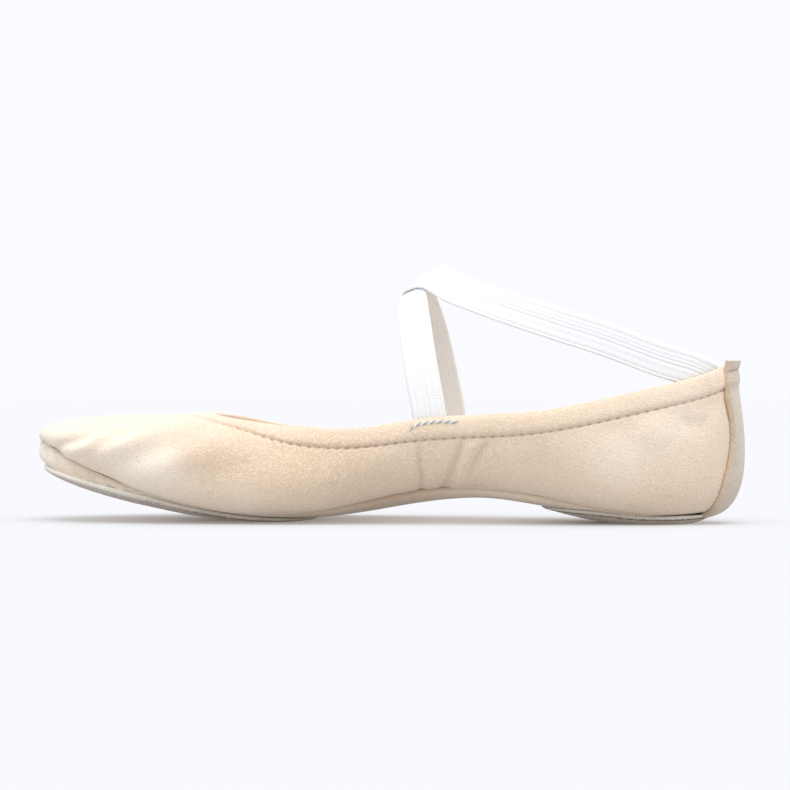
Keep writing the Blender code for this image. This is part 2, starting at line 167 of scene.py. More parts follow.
def makeLastCurve():
    rows = []
    for footBack, footSide, lift, back, side, height, *reach in stations.values():
        footBack *= last["length"]
        foot = place(footBack, footSide * last["ballWidth"], underside(footBack) + lift * mm)
        collar = place(back * last["length"], side * last["ballWidth"], height * last["heelHeight"])
        rows.append(np.concatenate((foot, collar, np.array(reach) * mm)))
    rows = np.array(rows)
    middles = (rows[:, :3] + rows[:, 3:6]) / 2
    steps = np.linalg.norm(np.roll(middles, -1, axis=0) - middles, axis=1)
    inner = np.cumsum(steps[:heelStation])
    outer = np.cumsum(steps[heelStation:])
    turns = np.concatenate(((0.0,), inner / inner[-1] / 2, 0.5 + outer[:-1] / outer[-1] / 2))
    return ClosedCurve(turns, rows)


lastCurve = makeLastCurve()


def unit(vectors):
    return vectors / np.linalg.norm(vectors, axis=-1, keepdims=True)


def bell(values, width):
    return np.exp(-(values / width) ** 2)


def backShare(points):
    return points[..., 0] / last["length"] + 0.5


def reachAlong(line):
    # distance of each point of a line from its start
    return np.concatenate(((0.0,), np.cumsum(np.linalg.norm(np.diff(line, axis=0), axis=1))))


def outward(turns, first):
    # level direction out of the shoe, square to the foot line (first 0) or the collar line (first 3)
    ahead = lastCurve.at(turns + last["nudge"])[:, first:first + 2]
    along = ahead - lastCurve.at(turns - last["nudge"])[:, first:first + 2]
    return unit(np.stack((along[:, 1], -along[:, 0], np.zeros(len(along))), axis=1))


def makeSkin():
    # a fine table of the upper's outer face: points and normals by turn and share, and rib lengths
    turns = np.arange(last["skinTurns"]) / last["skinTurns"]
    shares = np.linspace(*last["skinReach"], last["skinRows"])
    row = lastCurve.at(turns)
    foot, collar = row[:, :3], row[:, 3:6]
    low = foot + row[:, 6:7] * outward(turns, 0) + row[:, 7:8] * up
    high = collar + row[:, 8:9] * outward(turns, 3) + row[:, 9:10] * up
    t = np.linspace(0, 1, last["samples"])[None, :, None]
    foot, low, high, collar = (p[:, None, :] for p in (foot, low, high, collar))
    ribs = (1 - t)**3 * foot + 3 * (1 - t)**2 * t * low + 3 * (1 - t) * t**2 * high + t**3 * collar
    steps = np.linalg.norm(np.diff(ribs, axis=1), axis=2)
    reaches = np.hstack((np.zeros((len(turns), 1)), np.cumsum(steps, axis=1)))
    points = np.empty((len(turns), len(shares), 3))
    for k in range(len(turns)):
        reach = shares * reaches[k, -1]
        for axis in range(3):
            points[k, :, axis] = np.interp(reach, reaches[k], ribs[k, :, axis])
        over = reach - np.clip(reach, 0.0, reaches[k, -1])
        ends = np.where(over[:, None] > 0, ribs[k, -1] - ribs[k, -2], ribs[k, 1] - ribs[k, 0])
        points[k] += over[:, None] * unit(ends)
    ahead, behind = 2, 6  # table steps that a normal is measured over, along the shoe and up the rib
    along = np.roll(points, -ahead, axis=0) - np.roll(points, ahead, axis=0)
    padded = np.pad(points, ((0, 0), (behind, behind), (0, 0)), mode="edge")
    upward = padded[:, 2 * behind:] - padded[:, :-2 * behind]
    return np.concatenate((points, unit(np.cross(along, upward))), axis=2), reaches[:, -1]


skinTable, ribTable = makeSkin()


def ribLength(turns):
    places = np.asarray(turns) % 1.0 * len(ribTable)
    return np.interp(places, np.arange(len(ribTable) + 1), np.append(ribTable, ribTable[0]))


def skinAt(turns, shares):
    # points and normals of the outer face, by interpolation in the table
    turns, shares = np.broadcast_arrays(turns, shares)
    low, high = last["skinReach"]
    column = turns % 1.0 * len(skinTable)
    row = np.clip((shares - low) / (high - low), 0.0, 1.0) * (last["skinRows"] - 1)
    i = np.floor(column).astype(int)
    j = np.minimum(np.floor(row).astype(int), last["skinRows"] - 2)
    u, v = (column - i)[..., None], (row - j)[..., None]
    i, after = i % len(skinTable), (i + 1) % len(skinTable)
    near = skinTable[i, j] * (1 - v) + skinTable[i, j + 1] * v
    far = skinTable[after, j] * (1 - v) + skinTable[after, j + 1] * v
    mixed = near * (1 - u) + far * u
    return mixed[..., :3], unit(mixed[..., 3:])


def skin(turns, shares):
    return skinAt(turns, shares)[0]


def wall(turns, shares, depths):
    # points of the upper's wall, at depths under its outer face (minus stands proud)
    point, normal = skinAt(turns, shares)
    return point - np.asarray(depths)[..., None] * normal


def toeShare(turns):
    behind = lastCurve.at(turns)[:, 0] + last["length"] / 2
    return np.maximum(0.0, 1 - behind / last["turnUpLength"])


def underRibs(turns):
    # control points of the ribs that carry on under the foot, from the seam to the middle line
    here = lastCurve.at(turns)
    across = lastCurve.at(1.0 - turns)
    foot = here[:, :3]
    out = outward(turns, 0)
    lift = foot[:, 2] - underside(foot[:, 0] + last["length"] / 2)
    toe = toeShare(turns)
    drop = (last["sideDrop"] * lift + last["panelInset"]) * (1 - toe) + last["toeDrop"] * lift * toe
    run = -last["underReach"] * (1 - toe)[:, None] * out - drop[:, None] * up
    heading = unit(run)
    facing = np.sum(heading * out, axis=1)[:, None] * up - heading[:, 2:3] * out
    start = foot + last["gap"] * heading - last["panelInset"] * facing
    back = (here[:, 0] + across[:, 0] + last["length"]) / 2
    heel = lastCurve.at(0.5)[0, 0] + last["length"] / 2
    back = back + last["toeFan"] * np.exp(-back / last["fanLength"])
    back = back - last["heelFan"] * np.exp((back - heel) / last["fanLength"])
    middle = np.stack((back - last["length"] / 2, (here[:, 1] + across[:, 1]) / 2, underside(back)), axis=1)
    reach = last["sideLevel"] * (1 - toe) + last["toeLevel"] * toe
    level = start + reach[:, None] * (middle - start)
    level[:, 2] = underside(level[:, 0] + last["length"] / 2)
    return start, start + run, level, middle


def under(turns, shares):
    # points of the panel's underside: 0 at the seam, 1 on the middle line
    start, low, level, middle = (p[:, None, :] for p in underRibs(turns))
    t = shares[..., None]
    return (1 - t)**3 * start + 3 * (1 - t)**2 * t * low + 3 * (1 - t) * t**2 * level + t**3 * middle


def underNormal(turns, shares):
    nudge = last["nudge"]
    inside = np.clip(shares, 0.0, 1 - nudge)
    along = under(turns + nudge, inside) - under(turns - nudge, inside)
    inward = under(turns, inside + nudge) - under(turns, np.maximum(inside - nudge, 0.0))
    normal = np.cross(along, inward)
    back = under(turns, np.ones_like(shares))[..., 0] + last["length"] / 2
    rise = underside(back + nudge) - underside(back - nudge)
    middle = np.stack((-rise, np.zeros_like(rise), np.full_like(rise, 2 * nudge)), axis=-1)
    onMiddle = (shares > 1 - nudge)[..., None]
    return unit(np.where(onMiddle, middle, normal))


def above(turns, shares, heights):
    return under(turns, shares) + np.asarray(heights)[..., None] * underNormal(turns, shares)


def sheet(name, grid, wrapColumns=True, wrapRows=False, paints=None, slots=None):
    # a mesh from a grid of points; paints are values kept on the vertices, slots a material per row
    columns = len(grid) if wrapColumns else len(grid) - 1
    rows = len(grid[0]) if wrapRows else len(grid[0]) - 1
    bm = bmesh.new()
    bmesh.ops.create_grid(bm, x_segments=columns, y_segments=rows, size=1.0)
    layers = {key: bm.verts.layers.float.new(key) for key in (paints or {})}
    uv = bm.loops.layers.uv.new("map")
    places = {}
    for vertex in bm.verts:
        column = round((vertex.co.x + 1) / 2 * columns)
        row = round((vertex.co.y + 1) / 2 * rows)
        places[vertex] = (column, row)
    for face in bm.faces:
        if slots is not None:
            face.material_index = slots[min(places[loop.vert][1] for loop in face.loops)]
        for loop in face.loops:
            column, row = places[loop.vert]
            loop[uv].uv = (column / columns, row / rows)
    for vertex, (column, row) in places.items():
        i, j = column % len(grid), row % len(grid[0])
        vertex.co = grid[i][j]
        for key, layer in layers.items():
            vertex[layer] = paints[key][i][j]
    bmesh.ops.remove_doubles(bm, verts=bm.verts, dist=weld)
    bmesh.ops.dissolve_degenerate(bm, edges=bm.edges, dist=weld)
    bmesh.ops.recalc_face_normals(bm, faces=bm.faces)
    return finishMesh(name, bm)


def finishMesh(name, bm):
    mesh = bpy.data.meshes.new(name)
    bm.to_mesh(mesh)
    bm.free()
    mesh.shade_smooth()
    return mesh


def addPiece(name, mesh, materials, node=None):
    piece = bpy.data.objects.new(name, mesh)
    bpy.context.scene.collection.objects.link(piece)
    for material in materials:
        mesh.materials.append(material)
    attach(piece, "root")
    if node:
        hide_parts(node)
    return piece


def addNode(tree, kind, values=None, **settings):
    item = tree.nodes.new("ShaderNode" + kind)
    for key, value in settings.items():
        setattr(item, key, value)
    for key, value in (values or {}).items():
        if isinstance(value, bpy.types.NodeSocket):
            tree.links.new(value, item.inputs[key])
        else:
            item.inputs[key].default_value = value
    return item


def newMaterial(name, roughness, specular, sheen):
    material = bpy.data.materials.new(name)
    material.use_nodes = True
    tree = material.node_tree
    shader = tree.nodes["Principled BSDF"]
    shader.inputs["Roughness"].default_value = roughness
    shader.inputs["Specular IOR Level"].default_value = specular
    shader.inputs["Sheen Weight"].default_value = sheen
    shader.inputs["Sheen Roughness"].default_value = sheenSpread
    return material, tree, shader


def objectPlace(tree):
    return addNode(tree, "TexCoord").outputs["Object"]


def noiseAt(tree, scale, detail, roughness):
    values = {"Scale": scale, "Detail": detail, "Roughness": roughness, "Vector": objectPlace(tree)}
    return addNode(tree, "TexNoise", values).outputs["Fac"]


def remap(tree, value, low, high, toLow=0.0, toHigh=1.0):
    values = {"Value": value, "From Min": low, "From Max": high, "To Min": toLow, "To Max": toHigh}
    return addNode(tree, "MapRange", values).outputs["Result"]


def blendColour(tree, amount, first, second):
    item = addNode(tree, "Mix", data_type="RGBA")
    for socket, value in zip((item.inputs[0], item.inputs[6], item.inputs[7]), (amount, first, second)):
        if isinstance(value, bpy.types.NodeSocket):
            tree.links.new(value, socket)
        elif isinstance(value, (int, float)):
            socket.default_value = value
        else:
            socket.default_value = (*value, 1.0)
    return item.outputs[2]


def multiply(tree, first, second):
    return addNode(tree, "Math", {0: first, 1: second}, operation="MULTIPLY").outputs[0]


def painted(tree, name):
    return addNode(tree, "Attribute", attribute_name=name).outputs["Fac"]


def bumps(tree, shader, layers):
    # layers of height value, strength and depth in metres, coarse first
    normal = None
    for height, strength, depth in layers:
        values = {"Height": height, "Strength": strength, "Distance": depth}
        if normal:
            values["Normal"] = normal
        normal = addNode(tree, "Bump", values).outputs["Normal"]
    tree.links.new(normal, shader.inputs["Normal"])


def addCamera():
    turn = math.radians(camera["turn"])
    data = bpy.data.cameras.new("camera")
    data.lens = camera["lens"]
    data.sensor_width = camera["sensor"]
    item = bpy.data.objects.new("camera", data)
    bpy.context.scene.collection.objects.link(item)
    right = Vector((math.cos(turn), math.sin(turn), 0))
    ahead = Vector((-math.sin(turn), math.cos(turn), 0))
    item.location = right * camera["aside"] - ahead * camera["distance"] + Vector((0, 0, camera["height"]))
    item.rotation_euler = (math.radians(90), 0, turn)
    bpy.context.scene.camera = item


def addLight():
    world = bpy.data.worlds.new("room")
    world.use_nodes = True
    world.node_tree.nodes["Background"].inputs["Color"].default_value = (*light["room"], 1.0)
    bpy.context.scene.world = world
    bpy.context.scene.view_settings.view_transform = "Standard"

    data = bpy.data.lights.new("softTop", "SUN")
    data.energy = light["sunPower"]
    data.angle = math.radians(light["sunSoftness"])
    lamp = bpy.data.objects.new("softTop", data)
    tilt = math.radians(light["sunFront"]), -math.radians(light["sunToe"])
    lamp.rotation_euler = (*tilt, math.radians(camera["turn"]))
    bpy.context.scene.collection.objects.link(lamp)


def addFloor():
    bm = bmesh.new()
    bmesh.ops.create_grid(bm, x_segments=1, y_segments=1, size=light["floorSize"] / 2)
    floor = bpy.data.objects.new("floor", finishMesh("floor", bm))
    bpy.context.scene.collection.objects.link(floor)
    material, tree, shader = newMaterial("floorPaper", *light["floorSurface"])
    shader.inputs["Base Color"].default_value = (*light["floor"], 1.0)
    glow = light["floorGlow"]
    # painted shadows: the glow fades to the dim colour round where the ball and the heel stand
    for x, y, reachX, reachY in (light["ballPaintedShadow"], light["heelPaintedShadow"]):
        spot = addNode(tree, "Mapping", {
            "Vector": objectPlace(tree),
            "Location": (-x / reachX, -y / reachY, 0.0),
            "Scale": (1 / reachX, 1 / reachY, 1.0),
        }).outputs["Vector"]
        paintedShadow = addNode(tree, "TexGradient", {"Vector": spot}, gradient_type="QUADRATIC_SPHERE").outputs["Fac"]
        glow = blendColour(tree, paintedShadow, glow, light["paintedShadowGlow"])
    tree.links.new(glow, shader.inputs["Emission Color"])
    shader.inputs["Emission Strength"].default_value = 1.0
    floor.data.materials.append(material)


addCamera()
addLight()
addFloor()
print("camera, light and floor are set")


leather = {
    "colour": (0.735, 0.565, 0.405),
    "pale": (0.86, 0.725, 0.575),
    # colour of the painted light; the deep colour is also that of the painted shade
    "paintedLightColour": (0.95, 0.850, 0.720),
    "deep": (0.64, 0.465, 0.310),
    # colour of the painted shade in creases and hollows, and of the dark seam lines
    "shadeAndSeamLine": (0.42, 0.275, 0.165),
    # colour of dirt and of the painted shade near the floor and underneath
    "dirtAndShade": (0.36, 0.26, 0.175),
    "surface": (0.9, 0.25, 0.55),  # roughness, specular and sheen
    # noises over the nap: how many to a metre, detail and roughness
    "cloud": (60.0, 4.0, 0.6),
    "nap": (2000.0, 2.0, 0.6),
    "grain": (1700.0, 3.0, 0.65),
    # a noise's values from and to, and how much of the second colour they then give
    "cloudSpan": (0.32, 0.68),
    "evenness": 0.75,  # how much of the plain colour lies over the clouds
    "grainPale": (0.48, 0.62, 0.0, 0.7),
    "napDeep": (0.36, 0.50, 0.34, 0.0),
    "dirtAndShadeRagged": (0.3, 0.7, 0.55, 1.25),
    "specksPerMetre": 190.0,
    "speckEdge": (0.03, 0.055, 0.45, 0.0),
    "speckRare": (0.86, 0.9),
    "grainBump": (0.75, 0.0006),  # strength and depth
    "napBump": (0.7, 0.0004),
}


def makeLeather(name, settings):
    material, tree, shader = newMaterial(name, *settings["surface"])
    cloud = noiseAt(tree, *settings["cloud"])
    nap = noiseAt(tree, *settings["nap"])
    grain = noiseAt(tree, *settings["grain"])
    paintedLightAndShade = painted(tree, "paintedLightAndShade")
    colour = blendColour(tree, remap(tree, cloud, *settings["cloudSpan"]), settings["deep"], settings["pale"])
    colour = blendColour(tree, settings["evenness"], colour, settings["colour"])
    # painted light where the painted value is plus, painted shade where it is minus
    colour = blendColour(tree, remap(tree, paintedLightAndShade, 0.0, 1.0), colour, settings["paintedLightColour"])
    colour = blendColour(tree, remap(tree, paintedLightAndShade, 0.0, -1.0), colour, settings["deep"])
    colour = blendColour(tree, remap(tree, grain, *settings["grainPale"]), colour, settings["pale"])
    colour = blendColour(tree, remap(tree, nap, *settings["napDeep"]), colour, settings["deep"])
    # painted shade in creases, grooves and hollows, and the dark seam lines
    colour = blendColour(tree, painted(tree, "shadeAndSeamLine"), colour, settings["shadeAndSeamLine"])
    # dirt and painted shade near the floor and underneath, ragged by the grain
    ragged = multiply(tree, painted(tree, "dirtAndShade"), remap(tree, grain, *settings["dirtAndShadeRagged"]))
    colour = blendColour(tree, ragged, colour, settings["dirtAndShade"])
    cells = {"Scale": settings["specksPerMetre"], "Vector": objectPlace(tree)}
    specks = addNode(tree, "TexVoronoi", cells).outputs
    speck = remap(tree, specks["Distance"], *settings["speckEdge"])
    rare = remap(tree, specks["Color"], *settings["speckRare"])
    colour = blendColour(tree, multiply(tree, speck, rare), colour, settings["dirtAndShade"])
    tree.links.new(colour, shader.inputs["Base Color"])
    bumps(tree, shader, [(grain, *settings["grainBump"]), (nap, *settings["napBump"])])
    return material


cloth = {
    # colour, colour between the threads, and a thread's width
    "lining": ((0.88, 0.77, 0.62), (0.74, 0.61, 0.46), 0.0007),
    "insole": ((0.83, 0.70, 0.53), (0.68, 0.54, 0.38), 0.0008),
    "surface": (0.95, 0.2, 0.1),
    "slant": (0.5, 0.6, 0.7),  # radians that the threads are turned by
    "waves": 0.31,  # waves to a thread's width
    "sway": 0.4,
    "crossNoise": (2.0, 0.6),
    "crossShade": (0.25, 0.6, 0.6, 1.0),
    "bump": (0.6, 0.00012),
}


def makeCloth(name):
    # a fine twill: slanting threads, broken by a cross thread
    material, tree, shader = newMaterial(name + "Twill", *cloth["surface"])
    colour, deep, width = cloth[name]
    turned = {"Vector": objectPlace(tree), "Rotation": cloth["slant"]}
    slant = addNode(tree, "Mapping", turned).outputs["Vector"]
    wave = {"Vector": slant, "Scale": cloth["waves"] / width, "Distortion": cloth["sway"]}
    twill = addNode(tree, "TexWave", wave).outputs["Fac"]
    cross = noiseAt(tree, 1 / width, *cloth["crossNoise"])
    shade = multiply(tree, twill, remap(tree, cross, *cloth["crossShade"]))
    tree.links.new(blendColour(tree, shade, deep, colour), shader.inputs["Base Color"])
    bumps(tree, shader, [(shade, *cloth["bump"])])
    return material


thread = {
    "hem": ((0.56, 0.42, 0.30), (0.36, 0.25, 0.17)),
    "grey": ((0.52, 0.485, 0.45), (0.34, 0.315, 0.29)),
    "pale": ((0.86, 0.835, 0.79), (0.64, 0.615, 0.575)),
    "surface": (0.6, 0.4, 0.0),
    "strands": (3000.0, 2.0, 0.55),
    "bump": (0.4, 0.0001),
}


def makeThread(name):
    material, tree, shader = newMaterial(name + "Thread", *thread["surface"])
    strands = noiseAt(tree, *thread["strands"])
    colour, deep = thread[name]
    tree.links.new(blendColour(tree, strands, deep, colour), shader.inputs["Base Color"])
    bumps(tree, shader, [(strands, *thread["bump"])])
    return material


upperLeather = makeLeather("brushedLeather", leather)
liningCloth = makeCloth("lining")
hemThread = makeThread("hem")
greyThread = makeThread("grey")
paleThread = makeThread("pale")
print("materials are made")


def distanceTo(points, route):
    # distance from each point to a polyline, and how far along it the nearest place is (0 to 1)
    lengths = np.linalg.norm(np.diff(route, axis=0), axis=1)
    starts = reachAlong(route)
    best = np.full(points.shape[:-1], np.inf)
    along = np.zeros(points.shape[:-1])
    for k in range(len(lengths)):
        heading = (route[k + 1] - route[k]) / lengths[k]
        t = np.clip((points - route[k]) @ heading, 0.0, lengths[k])
        gap = np.linalg.norm(points - route[k] - t[..., None] * heading, axis=-1)
        closer = gap < best
        best = np.where(closer, gap, best)
        along = np.where(closer, (starts[k] + t) / starts[-1], along)
    return best, along


def curveThrough(points, steps):
    # Catmull-Rom curve with steps between each pair of points
    points = np.array(points, float)
    ends = np.vstack((2 * points[0] - points[1], points, 2 * points[-1] - points[-2]))
    curve = []
    for k in range(1, len(ends) - 2):
        before, start, end, after = ends[k - 1:k + 3]
        for step in range(steps):
            t = step / steps
            bend = (end - before) * t
            bend += (2 * before - 5 * start + 4 * end - after) * t**2
            bend += (3 * start - before - 3 * end + after) * t**3
            curve.append(start + bend / 2)
    curve.append(points[-1])
    return np.array(curve)


# Each crease: the side it is on, its points (mm back from the toe and mm up), its half width and depth
# in mm (ridges are minus), and how dark the painted shade along it is.
creases = {
    "toeRidge": ("inner", [(15.2, 22.8), (23.0, 24.7), (29.1, 28.0), (36.9, 31.7)], 2.0, -1.7, 0.0),
    "toeTrough": ("inner", [(9.5, 24.2), (14.7, 26.4), (19.2, 27.7), (24.5, 30.5)], 1.8, 1.3, 0.18),
    "toeTroughBack": (
        "inner", [(27.6, 25.9), (30.9, 28.5), (34.4, 29.8), (40.2, 31.1), (46.4, 32.3)], 2.2, 1.2, 0.1),
    "toeRidgeBack": (
        "inner", [(24.5, 22.5), (34.7, 25.3), (41.3, 28.8), (51.2, 32.1), (59.6, 33.2)], 2.8, -1.5, 0.0),
    "vampTrough": (
        "inner", [(31.1, 17.0), (39.0, 20.3), (45.8, 23.6), (53.2, 26.5), (62, 29.5)], 4.0, 1.2, 0.05),
    "vampRidge": ("inner", [(40, 15.5), (52, 20), (64, 24), (78, 28)], 6.0, -0.7, 0.0),
    "vampDip": ("inner", [(52, 13.0), (66, 16.5), (80, 21.5), (92, 27)], 6.5, 0.7, 0.0),
    "ballCut": ("inner", [(74.6, 20.2), (77.0, 20.5), (79.5, 20.7)], 0.8, 0.15, 0.25),
    "archFold": ("inner", [(132.6, 25.5), (132.7, 19.6), (132.8, 14.5), (131.0, 9.5)], 1.3, 0.75, 0.34),
    "archBow": (
        "inner", [(146.6, 30.5), (146, 25), (143.8, 19.5), (140.9, 14.1), (137.8, 10)], 1.8, 0.95, 0.36),
    "archRidge": ("inner", [(150.5, 29), (149.5, 24.0), (147.0, 18.0), (143.5, 12.5)], 2.2, -0.85, 0.0),
    "archSlant": ("inner", [(156.8, 31.0), (153.8, 25.5), (150.6, 20.5), (148.0, 15.5)], 1.9, 0.75, 0.25),
    "shankSoft": ("inner", [(170, 30), (172, 22), (173, 15)], 5.0, 0.3, 0.0),
    "heelDimple": ("inner", [(217.0, 35.5), (218.6, 33.0), (220.0, 30.5)], 2.4, 0.75, 0.08),
    "heelDimpleBack": ("inner", [(223.2, 35.5), (222.8, 32.5), (223.0, 29.0)], 2.0, 0.6, 0.06),
    "heelPuff": ("inner", [(204, 34), (208, 30), (211, 25)], 5.5, -0.8, 0.0),
    "heelSoft": ("inner", [(192, 34), (198, 29), (201, 22)], 5.0, 0.35, 0.0),
    "outerFoldFront": ("outer", [(129, 29), (128.5, 20), (129.5, 11)], 1.7, 0.45, 0.22),
    "outerFoldBack": ("outer", [(143, 31), (145.5, 23), (146, 13)], 2.0, 0.55, 0.22),
    "outerRidge": ("outer", [(136, 30), (137, 20), (137, 11)], 2.6, -0.4, 0.0),
    "outerToeRidge": ("outer", [(14, 21), (22, 24.5), (32, 29)], 2.2, -0.7, 0.0),
    "outerToeTrough": ("outer", [(24, 22), (33, 27), (44, 30.5)], 2.4, 0.6, 0.1),
    "outerVamp": ("outer", [(36, 17), (50, 21.5), (66, 26), (80, 28)], 6.0, 0.5, 0.0),
}

fading = {
    "start": 0.07,  # a crease starts at this part of a half wave, runs over the next share, to this power
    "share": 0.86,
    "power": 0.7,
    "line": 0.55,  # its line of painted shade is this share of its width
    "steps": 5,
    "patchSteps": 4,
}

# Painted light (plus) and painted shade (minus) on the leather: points as above, half width and amount.
lightAndShadePatches = {
    "toeLight": ([(2.0, 26.0), (14.0, 26.0), (30.0, 24.0), (50.0, 21.0)], 7.0, 0.6),
    "vampLow": ([(38.0, 15.0), (58.0, 13.0), (76.0, 9.0)], 9.0, 0.6),
    "ballShade": ([(69.0, 21.0), (82.0, 22.0), (96.0, 27.0), (108.0, 32.0)], 13.0, -0.85),
    "waistShade": ([(100.0, 18.0), (118.0, 15.0), (130.0, 12.0)], 10.0, -0.25),
    "archShade": ([(112.0, 7.0), (130.0, 9.5), (150.0, 10.5)], 6.0, -0.8),
    "heelLight": ([(196.0, 22.0), (206.0, 27.0), (215.0, 33.0)], 11.0, 0.5),
}

upper = {
    "columns": 760,
    "sideRows": 74,
    "hemRows": 18,
    "rimRows": 5,
    "liningRim": 2,  # rows of the rim that the lining covers
    "innerRows": 14,
    "sideCrowd": 1.25,  # how much closer the rows lie towards the stitch line
    "bandCrowd": 1.3,
    "tuck": 0.05,  # the lining's lower edge is turned in over the bottom panel, by this share
    "tuckRise": 0.0018,
    "tuckThick": 0.0006,
    "seamDepth": 0.0009,  # how deep the seam beside the bottom panel is
    "leather": 0.0013,
    "hemWidth": 0.0075,
    "hemRise": 0.0007,
    "hemPuff": 1.2,
    "hemRound": 3.2,
    "quarterFade": 0.003,  # the creases fade out over this below the stitch line
    "stitchPitch": 0.00315,
    "stitchDip": 0.00016,
    "scallop": 0.00011,
    "scallopWidth": 0.0008,
    "grooveDepth": 0.00042,
    "grooveWidth": 0.00052,
    # painted shade in the stitch groove
    "grooveDark": 0.18,
    "edgeRoll": 0.0002,
    "edgeWidth": 0.0009,
    # darker along the seam edge
    "edgeDark": 0.26,
    "topPaintedLight": 0.4,  # painted light: how much paler the top of the foot is, where it faces up
    "topFrom": 0.2,
    "shadeBack": 0.585,  # painted shade: the quarter is dark along its lower seam here, in shares of the length
    "shadeSpread": 0.10,
    "shadeReach": 0.0045,
    "shadeDark": 0.55,
    "dirtAndShade": 0.5,  # the leather is darker up to a height, and less above it
    "darkTo": 0.0015,
    "darkFade": 0.0022,
    "wave": (0.030, 0.0005, 3.1),  # size, depth and start of its gentle unevenness
    "ripple": (0.010, 0.00014, 7.7),
}


def waves(points, size, depth, start):
    places = points.reshape(-1, 3) / size + start
    values = np.array([noise.noise(Vector(place)) for place in places])
    return depth * values.reshape(points.shape[:-1])


def sideView(points):
    # mm back from the toe and mm up
    return np.stack(((points[..., 0] + last["length"] / 2) / mm, points[..., 2] / mm), axis=-1)


def creaseField(points, inner):
    # outward height in metres and painted shade of all creases at points of the outer face
    height = np.zeros(points.shape[:-1])
    dark = np.zeros(points.shape[:-1])
    flat = sideView(points)
    for view, route, width, depth, darkness in creases.values():
        gap, along = distanceTo(flat, curveThrough(route, fading["steps"]))
        facing = inner if view == "inner" else ~inner
        wave = np.sin(math.pi * np.clip(along * fading["share"] + fading["start"], 0, 1))
        fade = wave ** fading["power"] * facing
        height -= depth * mm * bell(gap, width) * fade
        dark += darkness * bell(gap, fading["line"] * width) * fade
    return height, dark


def lightAndShadeField(points, normals):
    # painted light where the leather faces up, and the patches of painted light and shade
    paintedLightAndShade = upper["topPaintedLight"] * np.clip(normals[..., 2] - upper["topFrom"], 0.0, 1.0)
    flat = sideView(points)
    for route, width, amount in lightAndShadePatches.values():
        gap = distanceTo(flat, curveThrough(route, fading["patchSteps"]))[0]
        paintedLightAndShade += amount * bell(gap, width)
    return paintedLightAndShade


def collarReach(turns):
    # distance along the hem's stitch line at each turn
    hem = 1 - upper["hemWidth"] / ribLength(turns)
    line = skin(turns, hem)
    return reachAlong(np.vstack((line, line[:1])))


def upperField(turns, shares, points):
    lengths = ribLength(turns)[:, None]
    fromStitch = shares * lengths - (lengths - upper["hemWidth"])
    inner = (turns < 0.5)[:, None] & np.ones_like(shares, bool)
    height, dark = creaseField(points, inner)
    hemSide = np.clip(fromStitch / upper["hemWidth"], 0.0, 1.0)
    quarter = 1 - np.clip(fromStitch / upper["quarterFade"] + 1, 0.0, 1.0)
    height *= quarter
    dark *= quarter
    height += waves(points, *upper["wave"]) * quarter
    height += waves(points, *upper["ripple"])
    puff = upper["hemRise"] * upper["hemPuff"] * (1 - np.abs(2 * hemSide - 1) ** upper["hemRound"])
    height += puff * (fromStitch > 0)

    reach = collarReach(turns)
    pitches = round(reach[-1] / upper["stitchPitch"])
    phase = np.cos(2 * math.pi * pitches * reach[:-1] / reach[-1])[:, None]
    groove = bell(fromStitch, upper["grooveWidth"])
    height -= groove * (upper["grooveDepth"] + upper["stitchDip"] * phase)
    beside = bell(np.abs(fromStitch) - upper["scallopWidth"], upper["scallopWidth"])
    height -= upper["scallop"] * phase * beside

    fromSeam = shares * lengths
    edge = bell(fromSeam, upper["edgeWidth"])
    height -= upper["edgeRoll"] * edge
    back = backShare(points)
    arch = bell(back - upper["shadeBack"], upper["shadeSpread"]) * inner
    shade = upper["shadeDark"] * arch * bell(fromSeam, upper["shadeReach"])
    # painted shade in the stitch groove and above the lower seam under the arch, and darker along the seam
    # edge
    dark += upper["grooveDark"] * groove + upper["edgeDark"] * edge + shade
    return height, np.clip(dark, 0.0, 1.0)


